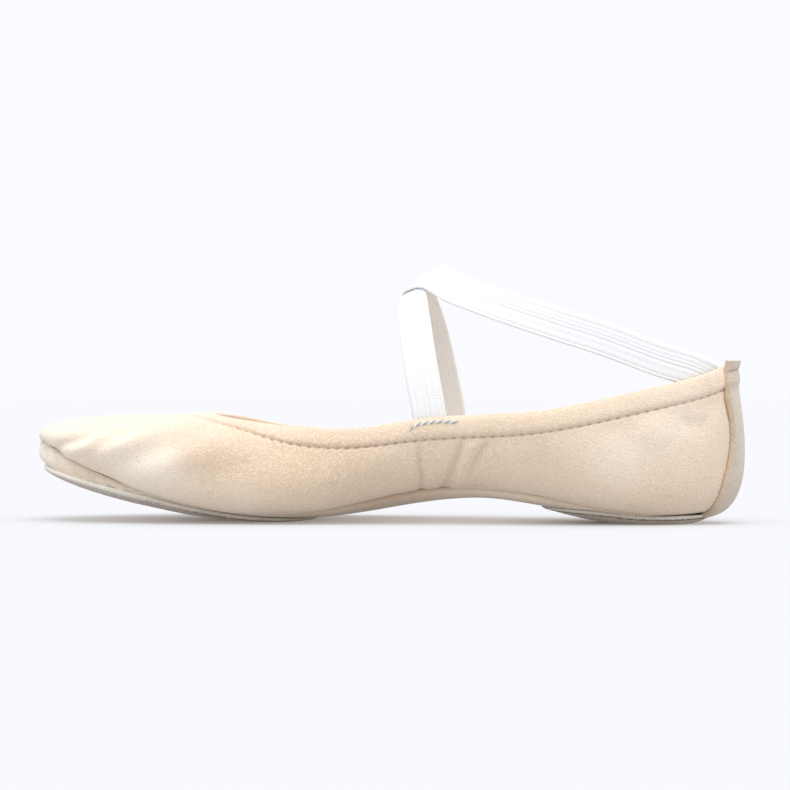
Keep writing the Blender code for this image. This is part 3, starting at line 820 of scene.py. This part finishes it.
def buildUpper():
    turns = np.arange(upper["columns"]) / upper["columns"]
    lengths = ribLength(turns)
    hem = 1 - upper["hemWidth"] / lengths
    side = 1 - (1 - np.linspace(0.0, 1.0, upper["sideRows"])) ** upper["sideCrowd"]
    band = np.linspace(0.0, 1.0, upper["hemRows"] + 1)[1:] ** upper["bandCrowd"]
    half = (upper["leather"] + upper["hemRise"]) / 2
    rim = 1 - half / lengths
    outer = np.hstack((hem[:, None] * side, hem[:, None] + (rim - hem)[:, None] * band))
    points, normals = skinAt(turns[:, None], outer)
    height, dark = upperField(turns, outer, points)
    face = points + height[..., None] * normals

    angles = np.linspace(0.0, math.pi, upper["rimRows"] + 1)[1:]
    rimShares = rim[:, None] + half * np.sin(angles) / lengths[:, None]
    start = -height[:, -1:]
    middle = (start + upper["leather"]) / 2
    swing = (upper["leather"] - start) / 2
    rimDepths = middle - swing * np.cos(angles)
    top = wall(turns[:, None], rimShares, rimDepths)

    inside = rim[:, None] * (1 - np.linspace(0.0, 1.0, upper["innerRows"])[1:])
    inner = wall(turns[:, None], inside, np.full_like(inside, upper["leather"]))
    rises = upper["tuckRise"] - upper["tuckThick"] * np.array((0.0, 1.0))
    tuck = above(turns, np.full((len(turns), 2), upper["tuck"]), rises)
    seam = wall(turns[:, None], np.zeros((len(turns), 1)), np.full((len(turns), 1), upper["seamDepth"]))
    grid = np.concatenate((face, top, inner, tuck, seam), axis=1)

    # darker towards the floor
    dirtAndShade = upper["dirtAndShade"] * np.exp(-np.maximum(grid[..., 2] - upper["darkTo"], 0) / upper["darkFade"])
    # painted shade of the creases and the groove, and the darker seam edge, on the outer face only
    shadeAndSeamLine = np.zeros(grid.shape[:2])
    shadeAndSeamLine[:, :dark.shape[1]] = dark
    paintedLightAndShade = np.zeros(grid.shape[:2])
    paintedLightAndShade[:, :dark.shape[1]] = lightAndShadeField(points, normals)
    outerRows = outer.shape[1] + upper["rimRows"] - upper["liningRim"]
    slots = [0] * outerRows + [1] * (grid.shape[1] - outerRows)
    paints = {"shadeAndSeamLine": shadeAndSeamLine, "dirtAndShade": dirtAndShade, "paintedLightAndShade": paintedLightAndShade}
    mesh = sheet("upper", grid, wrapRows=True, paints=paints, slots=slots)
    addPiece("upperLeather", mesh, [upperLeather, liningCloth], "upper")


buildUpper()
print("upper is made")


panel = {
    "columns": 400,
    "rows": 56,
    "innerRows": 24,
    "crowd": 1.6,  # how much closer the rows lie towards the seam
    "thick": 0.0017,
    "pucker": 0.00034,  # pleats at the toe: height, place below the seam, reach and pitch
    "puckerAt": 0.002,
    "puckerReach": 0.0045,
    "puckerPitch": 0.0068,
    "puckerSway": ((0.0016, 0.0075, 0.0), (0.0011, 0.0031, 1.0)),
    # painted shade in the pleats' hollows, and how far below the seam it reaches
    "puckerDark": 0.2,
    "puckerDarkReach": 0.004,
    "edgeRoll": 0.0003,
    "edgeWidth": 0.0009,
    # darker along the seam edge
    "edgeDark": 0.35,
    "wave": (0.018, 0.00025, 1.7),
    "puff": 0.0010,  # the panel bulges below its seam at the toe
    "puffAt": 0.0055,
    "puffReach": 0.0032,
    "toePaintedLight": 1.0,  # painted light up at the toe, painted shade under the arch, deeper and browner
    "toeLow": 0.016,
    "toeHigh": 0.023,
    "toeEnd": 0.2,
    "archPaintedShade": 0.7,
    "archShadeDark": 0.55,
    "archBack": 0.52,
    "archSpread": 0.09,
    "wornAndShaded": 0.6,  # darker underneath, worn and in painted shade, from one share to another
    "wornAndShadedFrom": 0.12,
    "wornAndShadedTo": 0.37,
}


def seamReach(turns):
    # distance along the foot line at each turn, and the whole way round
    line = lastCurve.at(turns)[:, :3]
    return reachAlong(np.vstack((line, line[:1])))


def panelField(turns, points):
    seam = points[:, :1]
    fromSeam = np.linalg.norm(points - seam, axis=2)
    reach = seamReach(turns)[:-1, None]
    toe = toeShare(turns)[:, None]
    uneven = reach.copy()
    for size, pace, start in panel["puckerSway"]:
        uneven += size * np.sin(reach / pace + start)
    pleats = np.cos(2 * math.pi * uneven / panel["puckerPitch"])
    height = panel["pucker"] * pleats * bell(fromSeam - panel["puckerAt"], panel["puckerReach"]) * toe**0.5
    height += panel["puff"] * toe * bell(fromSeam - panel["puffAt"], panel["puffReach"])
    edge = bell(fromSeam, panel["edgeWidth"])
    height += waves(points, *panel["wave"]) - panel["edgeRoll"] * edge
    # painted shade in the pleats' hollows, and darker along the rolled seam edge
    hollow = np.clip(-pleats, 0, 1) * toe * bell(fromSeam, panel["puckerDarkReach"])
    return height, panel["edgeDark"] * edge + panel["puckerDark"] * hollow


def buildPanel():
    turns = np.arange(panel["columns"]) / panel["columns"]
    outer = np.tile(np.linspace(0, 1, panel["rows"]) ** panel["crowd"], (len(turns), 1))
    inner = np.tile(np.linspace(0, 1, panel["innerRows"]), (len(turns), 1))
    points = under(turns, outer)
    height, dark = panelField(turns, points)
    below = points - height[..., None] * underNormal(turns, outer)
    top = above(turns, inner, np.full_like(inner, panel["thick"]))
    grid = np.concatenate((below[:, ::-1], top), axis=1)

    shadeAndSeamLine = np.zeros(grid.shape[:2])
    shadeAndSeamLine[:, :panel["rows"]] = dark[:, ::-1]
    # dirt and painted shade on the turned-under part, less at the toe
    dirtAndShade = np.zeros(grid.shape[:2])
    hidden = np.clip((outer[:, ::-1] - panel["wornAndShadedFrom"]) / (panel["wornAndShadedTo"] - panel["wornAndShadedFrom"]), 0, 1)
    dirtAndShade[:, :panel["rows"]] = panel["wornAndShaded"] * hidden * (1 - toeShare(turns)[:, None] ** 0.5)
    # painted light up at the toe; painted shade under the arch, in the tone and as darker crease shade
    rise = (grid[..., 2] - panel["toeLow"]) / (panel["toeHigh"] - panel["toeLow"])
    back = backShare(grid)
    paintedLightAndShade = panel["toePaintedLight"] * np.clip(rise, 0, 1) * (back < panel["toeEnd"])
    arch = bell(back - panel["archBack"], panel["archSpread"])
    paintedLightAndShade -= panel["archPaintedShade"] * arch
    shadeAndSeamLine = shadeAndSeamLine + panel["archShadeDark"] * arch
    mesh = sheet("bottomPanel", grid, paints={"shadeAndSeamLine": shadeAndSeamLine, "dirtAndShade": dirtAndShade, "paintedLightAndShade": paintedLightAndShade})
    addPiece("bottomPanelLeather", mesh, [panelLeather], "bottom_panel")


panelLeather = makeLeather("panelLeather", {
    **leather,
    "colour": (0.82, 0.670, 0.500),
    "pale": (0.91, 0.79, 0.64),
    "deep": (0.62, 0.445, 0.285),
    "dirtAndShade": (0.33, 0.225, 0.14),
})
buildPanel()
print("bottom panel is made")


pads = {
    "crowd": 1.3,
    "gap": 0.00008,  # between a pad and the bottom panel
    "endColumns": 3,  # the straight part's columns over those of a rounded end
    "sideRows": 6,
    "curveRows": 5,
    "margin": 0.1,
    "toeMargin": 0.28,
    "ballMargin": 0.12,
    "ballBack": 0.40,
    "ballLength": 0.10,
    "heelMargin": 0.12,
    "heelLength": 0.08,
    "round": 0.05,
    "edge": 0.7,  # share of the thickness down to where the lower edge is rounded
    "taper": 0.6,  # how much thinner the ends are
    "bulge": 0.004,
    "ragged": (0.0013, 0.00010, 4.4),  # size, depth and start of the uneven underside
    "raggedPower": 3,
    "raggedEnd": 0.97,
    "heelBack": 0.94,
    "heelReach": 0.04,
    "heelLip": 0.0026,  # the pad's upper edge stands out behind the heel, and a little at the toe
    "toeLip": 0.0006,
    "lipFade": 0.7,
    "lipReach": 0.2,
    "wornAndShadedFrom": 0.16,  # the side walls are lighter up to here, and worn brown and in painted shade from the next, in shares
    "wornAndShadedTo": 0.27,
    "dirtAndShade": (0.02, 0.38),  # dirt and painted shade of the lighter walls, and how much more is on the worn and shaded ones
    "dirtAndShadeLow": (0.45, 0.5),  # the same near the floor, on the rounded lower edge in painted shade
    "lowFrom": 0.58,
    "lowPace": 3,
    # darker on the underside
    "darkUnder": 0.75,
    "underFrom": 0.98,
    # painted shade along the top of the walls, next to the bottom panel
    "shadeTop": 0.9,
    "topTo": 0.1,
}

# middle turn, full width up to, closed at (turns), thickness, columns a side, rows
padPieces = {
    "forefoot": (0.0, 11 / 80, 15.6 / 80, 0.0018, 150, 44),
    "heel": (0.5, 7 / 80, 11.4 / 80, 0.0017, 100, 36),
}


def padEdge(turns):
    return pads["margin"] + pads["toeMargin"] * toeShare(turns)


def padTuck(turns):
    # how far the pads' edge is tucked in at the ball, and reaches out again behind the heel
    back = backShare(lastCurve.at(turns))
    tuck = pads["ballMargin"] * bell(back - pads["ballBack"], pads["ballLength"])
    return tuck - pads["heelMargin"] * bell(1 - back, pads["heelLength"])


suede = {
    "face": (0.93, 0.895, 0.82),
    "edge": (0.82, 0.775, 0.69),
    "dirtAndShadeColour": (0.17, 0.122, 0.076),
    "surface": (0.95, 0.2, 0.05),
    "fuzz": (1500.0, 4.0, 0.7),
    "blot": (120.0, 4.0, 0.6),
    "blotFace": (0.35, 0.65),
    "fuzzEdge": (0.35, 0.65, 0.25, 0.0),
    "dirtAndShadeFuzz": (0.3, 0.62, 1.1, 0.6),
    "blotBump": (0.2, 0.0004),
    "fuzzBump": (0.4, 0.00018),
}


def makeSuede():
    material, tree, shader = newMaterial("padSuede", *suede["surface"])
    fuzz = noiseAt(tree, *suede["fuzz"])
    blot = noiseAt(tree, *suede["blot"])
    colour = blendColour(tree, remap(tree, blot, *suede["blotFace"]), suede["edge"], suede["face"])
    colour = blendColour(tree, remap(tree, fuzz, *suede["fuzzEdge"]), colour, suede["edge"])
    # dirt and painted shade, ragged by the fuzz
    rough = multiply(tree, painted(tree, "dirtAndShade"), remap(tree, fuzz, *suede["dirtAndShadeFuzz"]))
    colour = blendColour(tree, rough, colour, suede["dirtAndShadeColour"])
    tree.links.new(colour, shader.inputs["Base Color"])
    bumps(tree, shader, [(blot, *suede["blotBump"]), (fuzz, *suede["fuzzBump"])])
    return material


def buildPad(name, node, material):
    middle, full, end, padThick, columns, rows = padPieces[name]
    straight = np.linspace(0.0, full, columns)
    closing = np.sin(math.pi / 2 * np.linspace(0, 1, columns // pads["endColumns"] + 1)[1:])
    offsets = np.concatenate((straight, full + (end - full) * closing))
    closings = np.concatenate((np.zeros(columns), closing))
    turns = middle + np.concatenate((-offsets[:0:-1], offsets))
    closings = np.concatenate((closings[:0:-1], closings))[:, None]
    narrow = np.sqrt(1 - closings**2)
    first = padEdge(turns)[:, None]
    first = first + padTuck(turns)[:, None] * (1 - first)
    inward = first + (1 - first) * np.linspace(0, 1, rows) ** pads["crowd"]
    shares = 1 - narrow * (1 - inward)
    thick = padThick * (1 - pads["taper"] * closings**2)
    gap = pads["gap"]

    # from the middle out along the top, down the side, round the lower edge and back below
    side = np.linspace(0.0, 1.0, pads["sideRows"] + 1)[1:]
    curve = np.linspace(0.0, math.pi / 2, pads["curveRows"] + 1)[1:]
    edge = shares[:, :1]
    sideShares = edge - pads["bulge"] * narrow * np.sin(math.pi * side)
    sideDepths = gap + thick * pads["edge"] * side
    curveShares = edge + pads["round"] * narrow * (1 - np.cos(curve))
    curveDepths = gap + thick * (pads["edge"] + (1 - pads["edge"]) * np.sin(curve))
    lowShares = np.maximum(shares[:, 1:], edge + pads["round"] * narrow)
    allShares = np.hstack((shares[:, ::-1], sideShares, curveShares, lowShares))
    allDepths = np.hstack((np.full_like(shares, gap), sideDepths, curveDepths, gap + thick + 0 * lowShares))
    points = above(turns, allShares, -allDepths)
    height = waves(points, *pads["ragged"]) * np.clip(allDepths / thick, 0, 1) ** pads["raggedPower"]
    facing = underNormal(turns, np.minimum(allShares, pads["raggedEnd"]))
    points = points - height[..., None] * facing
    points[..., 2] = np.maximum(points[..., 2], 0.0)

    span = np.clip((allDepths - gap) / thick, 0, 1)
    back = backShare(lastCurve.at(turns))[:, None]
    lip = pads["heelLip"] * bell(np.minimum(back - pads["heelBack"], 0), pads["heelReach"])
    lip = (lip + pads["toeLip"] * toeShare(turns)[:, None]) * (1 - pads["lipFade"] * span)
    lip = lip * bell(np.maximum(allShares - edge, 0), pads["lipReach"])
    points += lip[..., None] * outward(turns, 0)[:, None]

    # worn brown and in painted contact shade from the ball back, dirt and painted shade low down, painted
    # shade along the top
    wornAndShaded = np.clip((back - pads["wornAndShadedFrom"]) / (pads["wornAndShadedTo"] - pads["wornAndShadedFrom"]), 0, 1)
    clean, more = pads["dirtAndShade"]
    cleanLow, moreLow = pads["dirtAndShadeLow"]
    low = np.clip((span - pads["lowFrom"]) * pads["lowPace"], 0, 1)
    dirtAndShade = clean + more * wornAndShaded + (cleanLow + moreLow * wornAndShaded) * low
    dirtAndShade = np.where(span > pads["underFrom"], pads["darkUnder"], dirtAndShade)
    dirtAndShade = np.where(span < pads["topTo"], pads["shadeTop"], dirtAndShade)
    mesh = sheet(name + "Pad", points, wrapColumns=False, paints={"dirtAndShade": dirtAndShade})
    addPiece(name + "Pad", mesh, [material], node)


padSuede = makeSuede()
buildPad("forefoot", "outsole_forefoot", padSuede)
buildPad("heel", "outsole_heel", padSuede)
print("outsole pads are made")


insole = {
    "columns": 200,
    "rows": 40,
    "crowd": 1.2,
    "bottomEvery": 3,  # rows of the face to a row of the bottom
    "low": 0.0020,
    "thick": 0.0012,
    "inset": 0.03,
    "wave": (0.016, 0.0003, 9.0),
    "edgeDrop": 0.0004,  # its edge is pressed down
    "edgeReach": 0.0008,
}


def buildInsole():
    turns = np.arange(insole["columns"]) / insole["columns"]
    first = padEdge(turns)[:, None]
    shares = first + (1 - first) * np.linspace(0, 1, insole["rows"]) ** insole["crowd"]
    shares = shares + insole["inset"] * (1 - shares)
    points = above(turns, shares, np.full_like(shares, insole["low"] + insole["thick"]))
    points[..., 2] -= waves(points, *insole["wave"])
    fromEdge = np.linalg.norm(points - points[:, :1], axis=2)
    points[..., 2] -= insole["edgeDrop"] * bell(fromEdge, insole["edgeReach"])
    shares = shares[:, ::insole["bottomEvery"]]
    bottom = above(turns, shares, np.full_like(shares, insole["low"]))
    grid = np.concatenate((bottom[:, ::-1], points), axis=1)
    mesh = sheet("insole", grid)
    addPiece("insoleSock", mesh, [insoleCloth], "insole")


insoleCloth = makeCloth("insole")
buildInsole()
print("insole is made")


stay = {
    "columns": 72,
    "rows": 170,
    "crowd": 1.6,
    "first": 0.012,  # the share of the side where it starts
    "pace": (1.1, 60),  # the share up to which widths are measured, and in how many places
    "shares": (0.0, 0.06, 0.13, 0.22, 0.30, 0.42, 0.54, 0.65, 0.80, 0.90, 1.0),
    "widths": (14.0, 18.0, 22.8, 25.0, 25.2, 22.8, 20.2, 19.6, 21.4, 20.6, 17.8),  # mm at those shares
    "thick": 0.0017,
    "tab": 0.0006,
    "tabThick": 0.25,
    "flare": 0.0009,
    "climbFrom": 0.002,  # it climbs onto the hem from this below the hem's stitches, over the next
    "climb": 0.004,
    "lip": 0.00022,  # a rolled lip along the edge, its place and width
    "lipAt": 0.0011,
    "lipWidth": 0.0006,
    "topRound": 0.0003,
    "lowRound": 0.0008,
    "lineWidth": 0.0006,
    # painted shade on the back face, against the upper
    "sideDark": 0.8,
    "stitchBelow": 0.0028,
    "stitchDip": (0.0005, 0.0004, 0.35),  # width, depth and painted shade of the dip at its own stitches
    "hemDip": (0.0012, 0.0002, 0.15),  # and over the hem's
    "wave": (0.011, 0.00022, 5.2),
    # darker towards the floor
    "dirtAndShade": 0.3,
    "darkFade": 0.004,
}


def besideHeel(aside, shares):
    # turns of the points at distances beside the middle of the heel
    line = np.linspace(0.0, *stay["pace"])
    ahead = skin(0.5 + last["nudge"], line)
    behind = skin(0.5 - last["nudge"], line)
    pace = np.linalg.norm(ahead - behind, axis=1) / (2 * last["nudge"])
    return 0.5 + aside / np.interp(shares, line, pace)


def ramp(values, width):
    # 0 to 1 in a quarter circle over a width
    return np.sqrt(np.clip(1 - (1 - np.clip(values / width, 0, 1)) ** 2, 0, 1))


def buildStay():
    even = np.linspace(-1, 1, stay["columns"])[:, None]
    across = np.sign(even) * (1 - (1 - np.abs(even)) ** stay["crowd"])
    rimLength = ribLength(0.5)
    shares = np.linspace(stay["first"], 1 + stay["tab"] / rimLength, stay["rows"])
    shares = np.tile(shares, (stay["columns"], 1))
    half = np.interp(shares, stay["shares"], stay["widths"]) * mm / 2
    turns = besideHeel(half * across, shares)
    reach = (shares - 1) * rimLength
    hem = np.clip((reach + upper["hemWidth"] + stay["climbFrom"]) / stay["climb"], 0, 1)
    lift = upper["hemRise"] * hem * hem * (3 - 2 * hem)
    fromEdge = half * (1 - np.abs(across))
    fromTop = shares[:, -1:] * rimLength - shares * rimLength
    fromLow = (shares - stay["first"]) * rimLength
    body = ramp(fromEdge, stay["thick"]) * ramp(fromTop, stay["topRound"]) * ramp(fromLow, stay["lowRound"])
    tab = np.clip(1 - fromTop / stay["stitchBelow"], 0, 1)
    dipWidth, dipDepth, dipDark = stay["stitchDip"]
    dip = bell(fromTop - stay["stitchBelow"], dipWidth)
    hemDipWidth, hemDipDepth, hemDipDark = stay["hemDip"]
    hemDip = bell(reach + upper["hemWidth"], hemDipWidth)
    lip = bell(fromEdge - stay["lipAt"], stay["lipWidth"])
    points = skin(turns, shares)
    height = waves(points, *stay["wave"]) + stay["lip"] * lip
    height += stay["tabThick"] * stay["thick"] * (tab > 0) - dipDepth * dip - hemDipDepth * hemDip
    base = lift + stay["flare"] * tab**2
    face = wall(turns, shares, -(base + body * (stay["thick"] + height)))
    back = wall(turns, shares, -base)
    level = face[:, -1:, 2].max() - face[:, -1:, 2]
    for side in (face, back):
        side[..., 2] += level * tab
    grid = np.concatenate((face, back[:, ::-1]), axis=1)

    # the seam line along the edge, painted shade in the stitch dips and on the back face, darker towards the
    # floor
    shadeAndSeamLine = np.zeros(grid.shape[:2])
    line = bell(body * stay["thick"], stay["lineWidth"]) * (tab == 0)
    shadeAndSeamLine[:, :shares.shape[1]] = line + dipDark * dip + hemDipDark * hemDip
    shadeAndSeamLine[:, shares.shape[1]:] = stay["sideDark"] * (tab[:, ::-1] == 0)
    dirtAndShade = stay["dirtAndShade"] * np.exp(-grid[..., 2] / stay["darkFade"])
    mesh = sheet("heelStay", grid, wrapColumns=False, wrapRows=True, paints={"shadeAndSeamLine": shadeAndSeamLine, "dirtAndShade": dirtAndShade})

    # an edge that is still open is closed
    bm = bmesh.new()
    bm.from_mesh(mesh)
    rims = [edge for edge in bm.edges if edge.is_boundary]
    if rims:
        bmesh.ops.holes_fill(bm, edges=rims, sides=0)
    bmesh.ops.recalc_face_normals(bm, faces=bm.faces)
    bm.to_mesh(mesh)
    bm.free()
    addPiece("heelStayLeather", mesh, [stayLeather], "heel_stay")
    row = np.argmin(np.abs(fromTop[0] - stay["stitchBelow"]))
    return face[:, row], skinAt(turns[:, row], np.minimum(shares[:, row], 1.0))[1]


stayLeather = makeLeather("stayLeather", {
    **leather,
    "colour": (0.53, 0.425, 0.310),
    "pale": (0.64, 0.535, 0.42),
    "deep": (0.45, 0.350, 0.245),
    # the seam line's orange-brown, also the colour of the painted shade in the dips and on the back face
    "shadeAndSeamLine": (0.60, 0.36, 0.17),
    "paintedLightColour": (0.72, 0.620, 0.500),
})
tabLine, tabNormals = buildStay()
print("heel stay is made")


elastic = {
    "width": 0.011,
    "thick": 0.001,
    "gap": 0.0005,
    "lift": 0.0011,  # of the upper strap over the lower one, fading over degrees, to a power
    "spread": 50.0,
    "fade": 4,
    "rise": 0.0465,  # how high the straps stand over the collar at the crest, and more towards the heel
    "slope": 0.6,
    "crest": 0.5425,
    "steps": 22,
    "columns": 60,
    "cords": 7,
    "cordDepth": 0.00024,
    "cordRound": 0.6,
    "cordPlace": (0.3, 9.0, 0.5),  # how unevenly the cords lie
    "cordVary": (0.65, 0.35, 14.0, 1.0),  # and how much their depth varies
    "edgeRound": 24,
    "thread": (0.845, 0.845, 0.835),
    "between": (0.73, 0.73, 0.735),
    "surface": (0.75, 0.3, 0.15),
    "knit": (330.0, 56.0, 1.0),
    "knitEdge": (0.1, 0.75),
    "knitLoose": 0.25,
    "weave": 0.5,
    "knitBump": (0.5, 0.00012),
    "weaveBump": (0.15, 0.00005),
}

# A strap's route: share of the way from toe to heel along the collar, and angle round the instep
strapRoute = (
    (0.523, 100.0),
    (0.520, 90.0),
    (0.500, 65.0),
    (0.483, 38.0),
    (0.474, 14.0),
    (0.483, -3.0),
    (0.508, -17.0),
    (0.549, -37.5),
    (0.596, -49.5),
    (0.650, -59.0),
    (0.720, -68.5),
    (0.790, -76.5),
    (0.860, -84.0),
    (0.915, -88.5),
    (0.945, -91.0),
    (0.965, -92.5),
)


def strapSurface(along, angle):
    # over the instep up to 90 degrees each side, then down inside the collar
    depth = upper["leather"] + elastic["gap"] + elastic["thick"] / 2
    inner = wall(along / 2, 1.0, depth)
    outer = wall(1 - along / 2, 1.0, depth)
    centre = (inner + outer) / 2
    crest = (elastic["crest"] - 0.5) * last["length"]
    rise = elastic["rise"] + elastic["slope"] * (centre[:, 0] - crest)
    turns = np.where(angle < 0, along / 2, 1 - along / 2)
    drop = rise * np.radians(np.maximum(np.abs(angle) - 90, 0))
    inside = wall(turns, 1 - drop / ribLength(turns), depth)
    radians = np.radians(np.clip(angle, -90, 90))
    arch = centre + np.sin(radians)[:, None] * (outer - inner) / 2
    arch = arch + (rise * np.cos(radians))[:, None] * up
    return np.where((np.abs(angle) > 90)[:, None], inside, arch)


def buildStrap(name, node, side, lift):
    route = [(along, side * angle) for along, angle in strapRoute]
    curve = curveThrough(route, elastic["steps"])
    along, angle = curve[:, 0], curve[:, 1]
    line = strapSurface(along, angle)
    heading = unit(np.gradient(line, axis=0))
    nudge = last["nudge"]
    byAlong = (strapSurface(along + nudge, angle) - strapSurface(along - nudge, angle)) / (2 * nudge)
    byAngle = strapSurface(along, angle + 0.5) - strapSurface(along, angle - 0.5)  # per degree
    face = unit(np.cross(byAlong, byAngle))
    across = np.cross(face, heading)

    # the step across the strap, split into steps along the collar and round the instep
    a = np.sum(byAlong * byAlong, 1)
    b = np.sum(byAlong * byAngle, 1)
    c = np.sum(byAngle * byAngle, 1)
    u = np.sum(byAlong * across, 1)
    v = np.sum(byAngle * across, 1)
    shiftAlong = (c * u - b * v) / (a * c - b * b)
    shiftAngle = (a * v - b * u) / (a * c - b * b)
    widths = elastic["width"] * np.linspace(-0.5, 0.5, elastic["columns"])
    alongs = (along[:, None] + widths * shiftAlong[:, None]).ravel()
    angles = (angle[:, None] + widths * shiftAngle[:, None]).ravel()
    middle = strapSurface(alongs, angles).reshape(len(line), elastic["columns"], 3)
    raised = lift * np.exp(-((angle / elastic["spread"]) ** elastic["fade"]))
    middle = middle + raised[:, None, None] * face[:, None]

    share = np.linspace(0, 1, elastic["columns"])
    sway, pace, start = elastic["cordPlace"]
    uneven = elastic["cords"] * share + sway * np.sin(pace * share + start)
    mean, sway, pace, start = elastic["cordVary"]
    groove = 1 - np.abs(np.sin(math.pi * uneven)) ** elastic["cordRound"]
    groove = (mean + sway * np.sin(pace * share + start)) * groove
    half = elastic["thick"] / 2 - elastic["cordDepth"] * groove
    half = half * np.sqrt(np.clip(1 - (2 * share - 1) ** elastic["edgeRound"], 0, 1))
    ends = np.ones(len(line))
    ends[[0, -1]] = 0.0
    offset = half[None, :, None] * ends[:, None, None] * face[:, None]
    grid = np.concatenate((middle + offset, (middle - offset)[:, ::-1]), axis=1)
    mesh = sheet(name, grid, wrapColumns=False, wrapRows=True)
    addPiece(name, mesh, [whiteElastic], node)


def makeElastic():
    material, tree, shader = newMaterial("whiteElastic", *elastic["surface"])
    chart = addNode(tree, "UVMap", uv_map="map").outputs["UV"]
    fine = addNode(tree, "Mapping", {"Vector": chart, "Scale": elastic["knit"]}).outputs["Vector"]
    weave = addNode(tree, "TexWave", {"Vector": fine, "Scale": elastic["weave"]}, bands_direction="X")
    knit = addNode(tree, "TexVoronoi", {"Vector": fine, "Scale": 1.0, "Randomness": elastic["knitLoose"]})
    dots = remap(tree, knit.outputs["Distance"], *elastic["knitEdge"], 1.0, 0.0)
    colour = blendColour(tree, dots, elastic["between"], elastic["thread"])
    tree.links.new(colour, shader.inputs["Base Color"])
    bumps(tree, shader, [(dots, *elastic["knitBump"]), (weave.outputs["Fac"], *elastic["weaveBump"])])
    return material


whiteElastic = makeElastic()
buildStrap("strapUnder", "strap_under", -1, 0.0)
buildStrap("strapOver", "strap_over", 1, elastic["lift"])
print("straps are made")


stitch = {
    "length": 0.0017,
    "thick": 0.00028,
    "tilt": 0.16,
    "bend": 0.35,
    "sink": 0.4,  # how deep it lies in the groove, in shares of its thickness
    "innerThick": 0.9,
    "sides": 7,
    "rings": 5,
    "tabCount": 7,
    "tabLength": 1.2,
    "tabThick": 1.3,
    "steps": 4000,
}


def addStitch(bm, centre, heading, normal, length, thick, tilt=0.0):
    # one short loop of thread: a stretched ball lying on the leather
    heading = Vector(heading).normalized()
    normal = Vector(normal).normalized()
    across = normal.cross(heading).normalized()
    heading = (heading + tilt * across).normalized()
    across = normal.cross(heading).normalized()
    made = bmesh.ops.create_uvsphere(bm, u_segments=stitch["sides"], v_segments=stitch["rings"], radius=0.5)
    for vertex in made["verts"]:
        x, y, z = vertex.co
        bend = -stitch["bend"] * thick * (2 * z) ** 2
        vertex.co = Vector(centre) + heading * z * length + across * x * thick + normal * (y * thick + bend)


def buildHemStitches():
    fine = np.arange(stitch["steps"]) / stitch["steps"]
    reach = collarReach(fine)
    count = round(reach[-1] / upper["stitchPitch"])
    turns = np.interp(np.arange(count) / count * reach[-1], reach[:-1], fine)
    lengths = ribLength(turns)
    shares = 1 - upper["hemWidth"] / lengths
    normals = skinAt(turns, shares)[1]
    sink = upper["grooveDepth"] + upper["stitchDip"] - stitch["sink"] * stitch["thick"]
    outside = wall(turns, shares, sink)
    inside = wall(turns, shares, upper["leather"])
    heel = np.linalg.norm(outside - outside[np.argmin(np.abs(turns - 0.5))], axis=1)
    stayHalf = np.interp(1 - upper["hemWidth"] / ribLength(0.5), stay["shares"], stay["widths"]) * mm / 2
    length, thick, tilt = stitch["length"], stitch["thick"], stitch["tilt"]
    bm = bmesh.new()
    for k in range(count):
        ahead = outside[(k + 1) % count] - outside[k - 1]
        if heel[k] > stayHalf:
            addStitch(bm, outside[k], ahead, normals[k], length, thick, -tilt)
        addStitch(bm, inside[k], ahead, -normals[k], length, thick * stitch["innerThick"], tilt)
    addPiece("hemStitching", finishMesh("hemStitching", bm), [hemThread])


def buildTabStitches():
    reach = reachAlong(tabLine)
    length, thick = stitch["length"] * stitch["tabLength"], stitch["thick"] * stitch["tabThick"]
    bm = bmesh.new()
    for k in range(stitch["tabCount"]):
        at = reach[-1] * (k + 0.5) / stitch["tabCount"]
        centre, ahead, normal = (
            [np.interp(at, reach, rows[:, axis]) for axis in range(3)]
            for rows in (tabLine, np.gradient(tabLine, axis=0), tabNormals)
        )
        addStitch(bm, centre, ahead, normal, length, thick)
    addPiece("tabStitching", finishMesh("tabStitching", bm), [greyThread])


tack = {
    # turns and shares that the bar runs through, on the inner side
    "route": ((0.2467, 0.906), (0.2505, 0.924), (0.257, 0.933), (0.270, 0.934), (0.2825, 0.918)),
    "count": 13,
    "steps": 12,
    "proud": 0.0009,
    "thick": 0.00075,
    "length": 0.0027,
    "slope": 0.6,
}


def buildTack(name, outer):
    # a bar of two-coloured thread, twisted like a rope, where a strap end is sewn through the hem
    route = curveThrough(tack["route"], tack["steps"])
    turns = 1 - route[:, 0] if outer else route[:, 0]
    line, normals = skinAt(turns, route[:, 1])
    line = line + tack["proud"] * normals
    reach = reachAlong(line)
    slope = -tack["slope"] if outer else tack["slope"]
    bm = bmesh.new()
    for k in range(tack["count"]):
        at = reach[-1] * k / (tack["count"] - 1)
        centre = [np.interp(at, reach, line[:, axis]) for axis in range(3)]
        ahead = [np.interp(at, reach, np.gradient(line[:, axis])) for axis in range(3)]
        normal = [np.interp(at, reach, normals[:, axis]) for axis in range(3)]
        addStitch(bm, centre, ahead, normal, tack["length"], tack["thick"], slope)
        for face in list(bm.faces)[-stitch["sides"] * stitch["rings"]:]:
            face.material_index = k % 2
    addPiece(name, finishMesh(name, bm), [greyThread, paleThread])


buildHemStitches()
buildTabStitches()
buildTack("innerTack", False)
buildTack("outerTack", True)
print("stitching is made")
